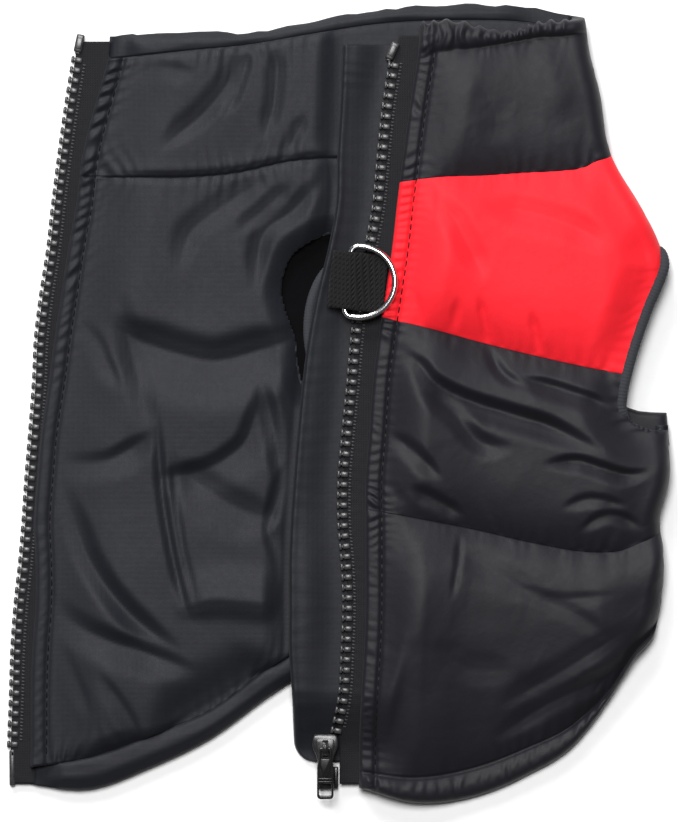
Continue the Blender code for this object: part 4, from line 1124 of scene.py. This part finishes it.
# ---------------------------------------------------------------- bindings
def ribbed_tube(line, radius, sides=14, ridge=0.03):
    """A bound edge: a round cord with fine ribs across it."""
    steps = np.linalg.norm(np.roll(line, -1, axis=0) - line, axis=1)
    along = np.concatenate([[0], np.cumsum(steps)[:-1]])
    turned_in = ease((line[:, 0] - 90.5) / 3.0) * ease((3.0 - line[:, 1]) / 4.0)
    widths = radius * (1 - 0.8 * turned_in) * (1 + ridge * np.cos(2 * math.pi * along / BINDING_RIB_PITCH))
    return tube_rings(line, widths, sides, closed=True)


def build_bindings():
    line = spline([(p.x, p.y, p.z) for p in ARMHOLE], 40, closed=True)
    made = lump_object("armhole_binding_right_knit", ribbed_tube(line, RIGHT_KNIT_RADIUS), "binding_knit")
    placed(made, replaces=("armhole_binding_right",))
    flat = left_binding_line(320)
    left = np.column_stack([flat, np.full(len(flat), BINDING_RADIUS + 0.4)])
    made = lump_object("armhole_binding_left_knit", ribbed_tube(left, LEFT_KNIT_RADIUS), "binding_knit")
    placed(made, replaces=("armhole_binding_left",))


def build_corner():
    """The lower layer's corner that shows below the right armhole, beside the fold."""
    shares = np.linspace(0, 1, 26)
    rows = np.linspace(0, 1, 22)[:, None]
    x = 88.0 + (105.2 - 88.0) * shares + 0.9 * (1 - rows)
    high = np.interp(x, (88.0, 92.5, 96.0, 100.0, 106.0), (1.5, -1.0, -2.2, -2.6, -2.8))
    y = high - 10.5 * (1 - rows)
    across, along = np.minimum(1 - shares, 0.2) / 0.2, np.minimum(1 - rows, 0.16) / 0.16
    rounded = np.sqrt(1 - (1 - across) ** 2) * np.sqrt(1 - (1 - along) ** 2)
    top = 3.0 + rounded * (2.0 + 0.35 * noise(x, y, 7.0, 101) - 0.5 * (1 - rows))
    outer = np.stack([x, y, top], axis=2)
    inner = np.stack([x, y, np.full_like(x, 2.6)], axis=2)
    return placed(sheet_object("shell_corner_cloth", outer, inner, "black_nylon"))


# ---------------------------------------------------------------- flap, tapes and teeth
def build_flap():
    """The wind flap behind the zip, with a rounded, stitched edge."""
    y = np.linspace(115.0, -115.0, 360)[:, None]
    shares = np.concatenate([np.linspace(0, 0.16, 12), np.linspace(0.16, 1, 22)[1:]])
    corner = np.clip((-108.5 - y) / 6.5, 0, 1)
    edge = edge_x("flap", y) + 6.0 * (1 - np.sqrt(1 - corner ** 2))
    sewn = edge_x("right_cloth", y) + FLAP_TUCK
    x = edge + (sewn - edge) * shares
    away = x - edge
    pucker = gathers(y + 0 * x, away, 5.5, 81)
    base = zip_base(x, y)
    bead = 0.3 * bump((away - 1.2) / 1.1)
    top = base + 1.3 + bead + 0.12 * pucker * np.exp(-away / 6.0)
    free = ease((edge_x("right_teeth", y) - 3.0 - x) / 11.0)
    top += free * (0.8 * noise(0.5 * x, y, 27.0, 83) + 0.4 * noise(x, 0.6 * y, 12.0, 85) + 0.4)
    top += free * 2.0 * ease((y + 116.0) / 54.0)
    rounded = np.sqrt(1 - (1 - np.clip(away / 0.9, 0, 1)) ** 2)
    top = base + (top - base) * (0.3 + 0.7 * rounded)
    outer = np.stack([x, y + 0 * x, top], axis=2)
    inner = np.stack([x, y + 0 * x, np.maximum(base, top - FLAP_WALL)], axis=2)
    made = sheet_object("wind_flap_cloth", outer, inner, "lining_nylon")
    return as_sheet(placed(made, replaces=("wind_flap",)))


TOOTH_PITCH = 3.3
TOOTH_HEIGHT = 2.4
RIGHT_TEETH_ENDS = (108.4, -105.2)
LEFT_TEETH_ENDS = (110.6, -110.0)
LEFT_TEETH_SHIFT = -1.5
LEFT_TEETH_FLOOR = 0.02


def tooth():
    """One moulded tooth: a root over the tape's cord, a neck and a wide head towards -X."""
    root = soft_box((2.3, 1.75, TOOTH_HEIGHT), 0.35, (0.75, 0, TOOTH_HEIGHT / 2), steps=2)
    neck = soft_box((1.1, 0.95, 1.7), 0.2, (-0.6, 0, TOOTH_HEIGHT / 2), steps=1)
    head = soft_box((1.0, 2.2, 2.1), 0.38, (-1.15, 0, TOOTH_HEIGHT / 2), steps=2)
    return join([root, neck, head])


def teeth_along(edge, ends, height_at):
    """Teeth along a zip edge between its two ends, their heads towards -X."""
    one = tooth()
    lumps = []
    y, stop = ends
    while y > stop:
        x = float(edge_x(edge, y))
        slope = float(edge_x(edge, y + 1) - edge_x(edge, y - 1)) / 2
        turn = -math.degrees(math.atan(slope))
        lumps.append(moved(one, (x, y, float(height_at(x, y))), turn))
        y -= TOOTH_PITCH * math.cos(math.atan(slope))
    return join(lumps)


def build_teeth():
    right = teeth_along("right_teeth", RIGHT_TEETH_ENDS, teeth_low)
    placed(lump_object("zip_teeth_right_moulded", right, "tooth_plastic", sharp=35),
           replaces=("zip_teeth_right",))
    left = teeth_along("left_teeth", LEFT_TEETH_ENDS, lambda x, y: LEFT_TEETH_FLOOR)
    left = moved(left, (LEFT_TEETH_SHIFT, 0, 0))
    placed(lump_object("zip_teeth_left_moulded", left, "tooth_plastic", sharp=35),
           replaces=("zip_teeth_left",))


def tape_sheet(name, node, x0, x1, start, stop, low, high):
    y = np.linspace(start, stop, 300)[:, None]
    shares = np.linspace(0, 1, 12)
    a, b = x0(y), x1(y)
    x = a + (b - a) * shares
    ripple = 0.12 * gathers(y + 0 * x, x - a, 3.3, 91) * bump((shares - 0.1) / 0.5)
    outer = np.stack([x, y + 0 * x, high(x, y) + ripple], axis=2)
    inner = np.stack([x, y + 0 * x, low(x, y)], axis=2)
    made = sheet_object(name, outer, inner, "zip_weave")
    return as_sheet(placed(made, replaces=(node,)))


def build_tapes():
    tape_sheet("zip_tape_right_weave", "zip_tape_right",
               lambda y: np.where(y < -104.0, 0.2, edge_x("right_teeth", y) + 0.4),
               lambda y: edge_x("right_cloth", y) + TAPE_TUCK, 118.0, -122.0,
               lambda x, y: teeth_low(x, y) + 0.8, lambda x, y: teeth_low(x, y) + 1.4)
    tape_sheet("zip_tape_left_weave", "zip_tape_left",
               lambda y: edge_x("left_teeth", y) - 1.9,
               lambda y: edge_x("left_cloth", y) + TAPE_TUCK * ease((112.0 - y) / 3.0) + 0.3, 116.5, -122.0,
               lambda x, y: 1.2 + 0 * x, lambda x, y: 1.85 + 0 * x)


# ---------------------------------------------------------------- slider, pull tab and zip ends
SLIDER_PLACE = (-4.4, -110.5)
SLIDER_SIZE = (8.3, 9.0)
SLIDER_FLOOR = 3.474
SLIDER_PLATE = 1.0
SLIDER_CHANNEL = 2.9
PULL_PIVOT = (-4.4, -110.5, 10.074)
PULL_WIDTH = 5.3
PULL_LENGTH = 16.3
PULL_WALL = 1.2
PULL_SLOPE = 10.0


def slider_outline(scale=1.0):
    """Plan of the slider's plates: wide shoulders above, a narrower heel below."""
    half_width, half_length = SLIDER_SIZE[0] / 2 * scale, SLIDER_SIZE[1] / 2 * scale
    side = open_curve(((0.45, 1.0), (0.86, 0.93), (0.99, 0.62), (0.96, 0.1), (0.72, -0.45), (0.58, -0.97)), 4)
    points = [(half_width * x, half_length * y) for x, y in side]
    return points + [(-x, y) for x, y in reversed(points)]


def along_x(lump):
    """A lump whose X, Y become Y, Z, so that an outline in side view is pushed along X."""
    return Lump(lump.points[:, [2, 0, 1]], lump.faces)


def arch(half_width):
    """The slider's arch that the pull tab turns under, with softened rims."""
    outer = open_curve(((2.9, -0.4), (2.85, 2.0), (2.0, 3.1), (0.4, 3.4), (-1.2, 3.05),
                        (-2.2, 2.0), (-2.4, -0.4)), 4)
    inner = open_curve(((-1.6, -0.4), (-1.5, 1.7), (-0.9, 2.4), (0.4, 2.6), (1.5, 2.4),
                        (2.0, 1.7), (2.0, -0.4)), 4)
    return along_x(prism([*map(tuple, outer), *map(tuple, inner)], -half_width, half_width, 0.22))


def build_slider():
    """Two rounded plates on a neck, side guides, and an arch over the upper plate."""
    top = 2 * SLIDER_PLATE + SLIDER_CHANNEL
    neck = [(0.0, -0.8), (1.3, 1.2), (1.3, 4.0), (-1.3, 4.0), (-1.3, 1.2)]
    guide = [(3.2, 2.6), (4.0, 2.2), (3.9, 0.2), (2.75, -2.2), (2.3, -4.1), (1.75, -4.1),
             (2.3, -2.0), (3.2, 0.2)]
    lumps = [
        prism(slider_outline(), 0.0, SLIDER_PLATE, 0.25),
        prism(slider_outline(), top - SLIDER_PLATE, top, 0.35),
        prism(slider_outline(0.72), top - 0.1, top + 0.28, 0.14),
        prism(neck, SLIDER_PLATE / 2, top - SLIDER_PLATE / 2, 0.1),
        prism(guide, top - SLIDER_PLATE - 0.7, top - 0.3, 0.12),
        prism([(-x, y) for x, y in guide], top - SLIDER_PLATE - 0.7, top - 0.3, 0.12),
        moved(arch(0.95), (0, 0, top)),
        moved(arch(0.45), (0, 0, top + 0.18), scale=(1, 0.94, 1.02)),
    ]
    place = (SLIDER_PLACE[0], SLIDER_PLACE[1], SLIDER_FLOOR)
    made = lump_object("slider_moulded", moved(join(lumps), place), "slider_plastic", sharp=40)
    return placed(made, replaces=("slider",))


def holed_plate(outline, holes, low, high, bevel):
    """A flat plate with holes through it and rounded rims."""
    bm = bmesh.new()
    edges = []
    for loop in (outline, *holes):
        verts = [bm.verts.new((x, y, low)) for x, y in loop]
        edges += [bm.edges.new((a, b)) for a, b in zip(verts, verts[1:] + verts[:1])]
    bmesh.ops.triangle_fill(bm, use_beauty=True, use_dissolve=True, edges=edges)
    raised = bmesh.ops.extrude_face_region(bm, geom=bm.faces[:])
    lifted = [v for v in raised["geom"] if isinstance(v, bmesh.types.BMVert)]
    bmesh.ops.translate(bm, verts=lifted, vec=(0.0, 0.0, high - low))
    bmesh.ops.recalc_face_normals(bm, faces=bm.faces)
    rim = [e for e in bm.edges if len(e.link_faces) == 2
           and abs(e.verts[0].co.z - e.verts[1].co.z) < 1e-6
           and abs(e.link_faces[0].normal.z - e.link_faces[1].normal.z) > 0.5]
    bmesh.ops.bevel(bm, geom=rim, offset=bevel, segments=2, profile=0.5, affect="EDGES")
    return taken_from(bm)


def rounded_box(half_x, low_y, high_y, corner, parts=4):
    """Outline of a rectangle with rounded corners."""
    x, low, high = half_x - corner, low_y + corner, high_y - corner
    points = []
    for cx, cy, start in ((x, high, 0.0), (-x, high, 90.0), (-x, low, 180.0), (x, low, 270.0)):
        for k in range(parts + 1):
            turn = math.radians(start + 90.0 * k / parts)
            points.append((cx + corner * math.cos(turn), cy + corner * math.sin(turn)))
    return points


def build_pull():
    """Pull tab with an eye round the arch, a waist, relief lines and a window near its end."""
    far = -PULL_LENGTH
    half = PULL_WIDTH / 2
    right = open_curve(((1.2, 0.62), (1.9, 0.3), (2.05, -1.6), (2.1, -3.4), (2.45, -4.8), (2.62, -6.2)), 3)
    side = [tuple(p) for p in right] + [(half, far + 1.1), (half - 0.3, far + 0.35), (half - 0.9, far)]
    outline = side + [(-x, y) for x, y in reversed(side)]
    window = rounded_box(1.95, far + 1.0, far + 5.2, 0.45)
    eye = rounded_box(1.35, -3.1, -0.55, 0.4)
    low, high = -PULL_WALL / 2, PULL_WALL / 2
    lumps = [holed_plate(outline, (window, eye), low, high, 0.22)]
    for sign in (-1, 1):
        line = [(sign * 1.9, -4.3, high), (sign * 1.1, -6.6, high + 0.02), (sign * 0.35, -8.6, high)]
        lumps.append(tube_rings(open_curve(line, 4), 0.24, 8))
    lumps.append(moved(soft_box((4.3, 0.6, 0.5), 0.2), (0, -9.6, high)))
    lumps.append(moved(soft_box((4.6, 0.5, 0.4), 0.15), (0, far + 5.75, high)))
    made = lump_object("pull_tab_moulded", join(lumps), "slider_plastic", sharp=40)
    made.location = Vector(PULL_PIVOT) * MM
    made.rotation_euler = (math.radians(PULL_SLOPE), 0.0, 0.0)
    return placed(made, body="pull", replaces=("pull_tab",))


def build_zip_ends():
    """Top stops, retaining box and insertion pin."""
    stop_y = 113.0
    x = float(edge_x("right_teeth", stop_y)) - 0.9
    floor = float(teeth_low(x, stop_y))
    stop = join([soft_box((2.6, 5.8, 2.8), 0.5, (0, 0, 1.4)), soft_box((1.7, 3.6, 0.5), 0.2, (0, 0, 2.85)),
                 soft_box((1.6, 1.5, 1.6), 0.3, (0.1, -2.8, 1.2))])
    made = lump_object("zip_top_stop_right_moulded", moved(stop, (x, stop_y, floor), -25.0),
                       "tooth_plastic", sharp=40)
    placed(made, replaces=("zip_top_stop_right",))
    left_y = stop_y + 2.9
    left_x = float(edge_x("left_teeth", left_y)) - 1.3
    made = lump_object("zip_top_stop_left_moulded", moved(stop, (left_x, left_y, 0.0), -12.0),
                       "tooth_plastic", sharp=40)
    placed(made, replaces=("zip_top_stop_left",))
    box_x, box_y = -4.0, -120.2
    box_floor = float(zip_base(np.array(box_x), np.array(box_y)))
    box = join([soft_box((5.6, 7.2, 2.8), 0.6, (0, 0, 1.4)), soft_box((3.6, 4.6, 0.4), 0.18, (0, -0.4, 2.85)),
                soft_box((1.5, 7.0, 2.2), 0.4, (3.0, 0.2, 1.3))])
    made = lump_object("zip_box_right_moulded", moved(box, (box_x, box_y, box_floor)),
                       "slider_plastic", sharp=40)
    placed(made, replaces=("zip_box_right",))
    pin = join([soft_box((1.9, 11.5, 1.9), 0.6, (0, 0, 1.0)), soft_box((1.2, 2.2, 1.5), 0.3, (0.1, 4.9, 1.2)),
                soft_box((0.6, 8.0, 0.4), 0.15, (0, -0.6, 1.95))])
    made = lump_object("zip_pin_left_moulded", moved(pin, (-105.0, -117.0, 0.0), 0.5),
                       "tooth_plastic", sharp=40)
    placed(made, replaces=("zip_pin_left",))


# ---------------------------------------------------------------- ring and webbing
RING_PIVOT = (2.9, 39.4, 13.7)
RING_TURN = -6.5
RING_TILT = 8.5
RING_HALF_WIDTH = 11.3
RING_DEPTH = 15.2
RING_WIRE = 1.0
RING_CORNER = 2.4
WEBBING_WIDTH = 18.4
WEBBING_WALL = 1.2
WEBBING_PATH = (
    (12.0, -1.95), (6.0, -1.95), (0.0, -1.95), (-3.6, -1.75), (-4.9, -1.3), (-5.4, -0.4), (-4.8, 0.45),
    (-3.2, 1.0), (-1.2, 1.75), (0.4, 1.95), (2.2, 1.6), (5.5, 0.3), (8.5, -0.4), (12.0, -0.45),
)


def ring_line():
    """Middle of the ring's wire, its straight bar on the Y axis and its bow towards +X."""
    half, corner = RING_HALF_WIDTH, RING_CORNER
    arm = RING_DEPTH - half
    points = [(0.0, y) for y in np.linspace(-(half - corner), half - corner, 12)]
    points += [(corner - corner * math.cos(t), half - corner + corner * math.sin(t))
               for t in np.linspace(0.0, math.pi / 2, 9)[1:]]
    points += [(arm + half * math.cos(t), half * math.sin(t))
               for t in np.linspace(math.pi / 2, -math.pi / 2, 49)]
    points += [(corner - corner * math.cos(t), -(half - corner) - corner * math.sin(t))
               for t in np.linspace(math.pi / 2, 0.0, 9)[:-1]]
    return [(x, y, 0.0) for x, y in points]


def build_ring():
    """D-ring of round polished wire; its joint is hidden under the webbing."""
    made = lump_object("d_ring_wire", tube_rings(ring_line(), RING_WIRE, 20, closed=True), "nickel")
    made.location = Vector(RING_PIVOT) * MM
    made.rotation_euler = (0.0, -math.radians(RING_TILT), math.radians(RING_TURN))
    return placed(made, body="ring", replaces=("d_ring",))


def build_webbing():
    """Ribbed webbing folded round the ring's bar."""
    path = open_curve(WEBBING_PATH, 6)
    runs = np.gradient(path, axis=0)
    runs /= np.linalg.norm(runs, axis=1)[:, None]
    normal = np.stack([runs[:, 1], -runs[:, 0]], axis=1)
    across = np.linspace(-WEBBING_WIDTH / 2, WEBBING_WIDTH / 2, 64)
    along = np.arange(len(path))[None, :] * 0.62
    edge = np.sqrt(np.clip(1 - (np.abs(across) / (WEBBING_WIDTH / 2)) ** 14, 0.05, 1))[:, None]
    rib = 0.10 * np.cos(2 * math.pi * (across[:, None] + 0.55 * along) / 1.9)
    rib = rib + 0.08 * np.cos(2 * math.pi * (across[:, None] - 0.55 * along) / 1.9)
    half = (WEBBING_WALL / 2 - 0.1) * edge
    outer = np.empty((len(across), len(path), 3))
    inner = np.empty_like(outer)
    for grid, sign, relief in ((outer, 1, rib), (inner, -1, 0 * rib)):
        grid[..., 0] = path[:, 0] + sign * normal[:, 0] * (half + relief)
        grid[..., 1] = across[:, None]
        grid[..., 2] = path[:, 1] + sign * normal[:, 1] * (half + relief)
    made = sheet_object("webbing_loop_weave", outer, inner, "belt_webbing")
    made.location = Vector(RING_PIVOT) * MM
    made.rotation_euler = (0.0, 0.0, math.radians(RING_TURN))
    return as_sheet(placed(made, replaces=("webbing_loop",)))


# ---------------------------------------------------------------- sewing
def stitch_run(line, length, gap, radius):
    """Stitches laid along a line of points that already lies on the cloth."""
    line = np.asarray(line, float)
    steps = np.linalg.norm(np.diff(line, axis=0), axis=1)
    along = np.concatenate([[0], np.cumsum(steps)])
    lumps = []
    place = 0.0
    while place + length < along[-1]:
        ends = [[np.interp(at, along, line[:, k]) for k in range(3)] for at in (place, place + length)]
        lumps.append(capsule(*ends, radius))
        place += length + gap
    return lumps


def surface_lift(names, line, lift=0.0):
    """Heights of the named pieces under a flat line, found by rays from above."""
    graph = bpy.context.evaluated_depsgraph_get()
    found = []
    for x, y in line:
        best = None
        for name in names:
            made = bpy.data.objects[name].evaluated_get(graph)
            hit, where, _, _ = made.ray_cast(Vector((x, y, 40.0)) * MM, Vector((0, 0, -1)))
            if hit and (best is None or where.z > best):
                best = where.z
        if best is not None:
            found.append((x, y, best / MM + lift))
    return found


def along_edge(edge, offset, start, stop, step=0.5):
    y = np.arange(start, stop, -step if stop < start else step)
    return np.column_stack([edge_x(edge, y) + offset, y])


STITCH_LENGTH = 2.3
STITCH_GAP = 0.7
STITCH_RADIUS = 0.2
SHELL_PIECES = tuple(name + "_cloth" for name in PANELS)
LINING_PIECES = tuple(name + "_cloth" for name in LINING_PANELS)


def build_sewing():
    """Lines of stitches along the zip casings and beside the teeth."""
    lumps = []
    for pieces, edge, start, stop in ((SHELL_PIECES, "right_cloth", 111.0, -117.0),
                                      (LINING_PIECES, "left_cloth", 109.0, -114.0)):
        line = surface_lift(pieces, along_edge(edge, ZIP_CASING, start, stop), 0.05)
        lumps += stitch_run(line, STITCH_LENGTH, STITCH_GAP, STITCH_RADIUS)
    made = lump_object("casing_stitches", join(lumps), "sewing_thread")
    placed(made)
    ladder = []
    for edge, piece, offsets, stop in (("right_teeth", "zip_tape_right_weave", (2.1, 3.0), -104.0),
                                       ("left_teeth", "zip_tape_left_weave", (0.9, 1.8), -108.0)):
        y = np.arange(109.0, stop, -1.1)
        starts = surface_lift((piece,), np.column_stack([edge_x(edge, y) + offsets[0], y]), 0.1)
        ends = surface_lift((piece,), np.column_stack([edge_x(edge, y) + offsets[1], y - 0.25]), 0.1)
        ladder += [capsule(low, high, 0.24) for low, high in zip(starts, ends)]
    made = lump_object("tape_stitches", join(ladder), "tape_thread")
    placed(made)


# ---------------------------------------------------------------- stage
VIEW_MIDDLE = (0.00016, -0.00224)
VIEW_HEIGHT_MM = 263.04
CAMERA_RISE = 2.0
FLOOR_HALF_WIDTH = 3000.0
FLOOR_HEIGHT = -0.4
ROOM_LIGHT = 0.08
STUDIO_LIGHTS = (                # name, place in metres, width in metres, watts
    ("main_light", (-0.12, 0.5, 1.85), 0.7, 38.0),
    ("neck_light", (-0.5, 1.35, 0.85), 0.8, 26.0),
)


def build_stage():
    """A pale floor, soft studio light and a camera that looks straight down."""
    scene = bpy.context.scene
    camera = bpy.data.cameras.new("camera")
    camera.sensor_fit = "VERTICAL"
    camera.sensor_height = 24.0
    camera.lens = camera.sensor_height * (CAMERA_RISE - 0.01) / (VIEW_HEIGHT_MM * MM)
    eye = bpy.data.objects.new("camera", camera)
    eye.location = (*VIEW_MIDDLE, CAMERA_RISE)
    scene.collection.objects.link(eye)
    scene.camera = eye
    half = FLOOR_HALF_WIDTH
    corners = [(x, y, FLOOR_HEIGHT) for x, y in ((-half, -half), (half, -half), (half, half), (-half, half))]
    floor = mesh_object("floor", corners, [(0, 1, 2, 3)], "paper_floor")
    for name, place, size, power in STUDIO_LIGHTS:
        light = bpy.data.lights.new(name, "AREA")
        light.size = size
        light.energy = power
        lamp = bpy.data.objects.new(name, light)
        lamp.location = place
        lamp.rotation_euler = (-Vector(place)).to_track_quat("-Z", "Y").to_euler()
        scene.collection.objects.link(lamp)
    world = bpy.data.worlds.new("studio")
    world.use_nodes = True
    background = world.node_tree.nodes["Background"]
    background.inputs["Color"].default_value = (1.0, 1.0, 1.0, 1.0)
    background.inputs["Strength"].default_value = ROOM_LIGHT
    scene.world = world
    scene.view_settings.view_transform = "Standard"


# ---------------------------------------------------------------- add-on
class CoatSettings(bpy.types.PropertyGroup):
    shell_colour: bpy.props.FloatVectorProperty(
        name="Shell colour", description="Colour of the quilted outer cloth", subtype="COLOR",
        size=3, min=0.0, max=1.0, default=(0.0100, 0.0094, 0.0128))
    yoke_colour: bpy.props.FloatVectorProperty(
        name="Yoke colour", description="Colour of the bright yoke panel", subtype="COLOR",
        size=3, min=0.0, max=1.0, default=(0.80, 0.014, 0.024))
    lining_colour: bpy.props.FloatVectorProperty(
        name="Lining colour", description="Colour of the lining", subtype="COLOR",
        size=3, min=0.0, max=1.0, default=(0.0088, 0.0094, 0.0130))
    binding_colour: bpy.props.FloatVectorProperty(
        name="Binding colour", description="Colour of the knitted armhole bindings", subtype="COLOR",
        size=3, min=0.0, max=1.0, default=(0.034, 0.036, 0.042))


class COAT_OT_shell(bpy.types.Operator):
    """Makes the four padded shell panels"""
    bl_idname = "coat.shell"
    bl_label = "Shell panels"

    def execute(self, context):
        for name in PANELS:
            build_shell(name)
        return {"FINISHED"}


class COAT_OT_lining(bpy.types.Operator):
    """Makes the lining's two pieces"""
    bl_idname = "coat.lining"
    bl_label = "Lining"

    def execute(self, context):
        for name in LINING_PANELS:
            build_lining(name)
        return {"FINISHED"}


class COAT_OT_bindings(bpy.types.Operator):
    """Makes both armholes' knitted bindings and the lower corner by the right one"""
    bl_idname = "coat.bindings"
    bl_label = "Armhole bindings"

    def execute(self, context):
        build_bindings()
        build_corner()
        return {"FINISHED"}


class COAT_OT_zip(bpy.types.Operator):
    """Makes the wind flap, the zip's tapes and its teeth"""
    bl_idname = "coat.zip"
    bl_label = "Zip"

    def execute(self, context):
        build_flap()
        build_tapes()
        build_teeth()
        return {"FINISHED"}


class COAT_OT_hardware(bpy.types.Operator):
    """Makes the slider, its pull tab, the zip's ends, the ring and its webbing"""
    bl_idname = "coat.hardware"
    bl_label = "Slider, zip ends, ring and webbing"

    def execute(self, context):
        build_slider()
        build_pull()
        build_zip_ends()
        build_ring()
        build_webbing()
        return {"FINISHED"}


class COAT_OT_sewing(bpy.types.Operator):
    """Lays the stitches on the cloth"""
    bl_idname = "coat.sewing"
    bl_label = "Stitches"

    def execute(self, context):
        context.view_layer.update()
        build_sewing()
        return {"FINISHED"}


class COAT_OT_stage(bpy.types.Operator):
    """Makes the floor, the lights and the camera"""
    bl_idname = "coat.stage"
    bl_label = "Stage"

    def execute(self, context):
        build_stage()
        return {"FINISHED"}


OPERATORS = (COAT_OT_shell, COAT_OT_lining, COAT_OT_bindings, COAT_OT_zip, COAT_OT_hardware,
             COAT_OT_sewing, COAT_OT_stage)


class COAT_PT_panel(bpy.types.Panel):
    bl_idname = "COAT_PT_panel"
    bl_label = "Padded dog coat"
    bl_space_type = "VIEW_3D"
    bl_region_type = "UI"
    bl_category = "Coat"

    def draw(self, context):
        for name in CoatSettings.__annotations__:
            self.layout.prop(context.scene.padded_coat, name)
        for operator in OPERATORS:
            self.layout.operator(operator.bl_idname)


CLASSES = (CoatSettings, *OPERATORS, COAT_PT_panel)


def register():
    for made in CLASSES:
        bpy.utils.register_class(made)
    bpy.types.Scene.padded_coat = bpy.props.PointerProperty(type=CoatSettings)


def unregister():
    del bpy.types.Scene.padded_coat
    for made in reversed(CLASSES):
        bpy.utils.unregister_class(made)


def main():
    register()
    for operator in OPERATORS:
        group, action = operator.bl_idname.split(".")
        getattr(getattr(bpy.ops, group), action)()


if __name__ == "__main__":
    main()
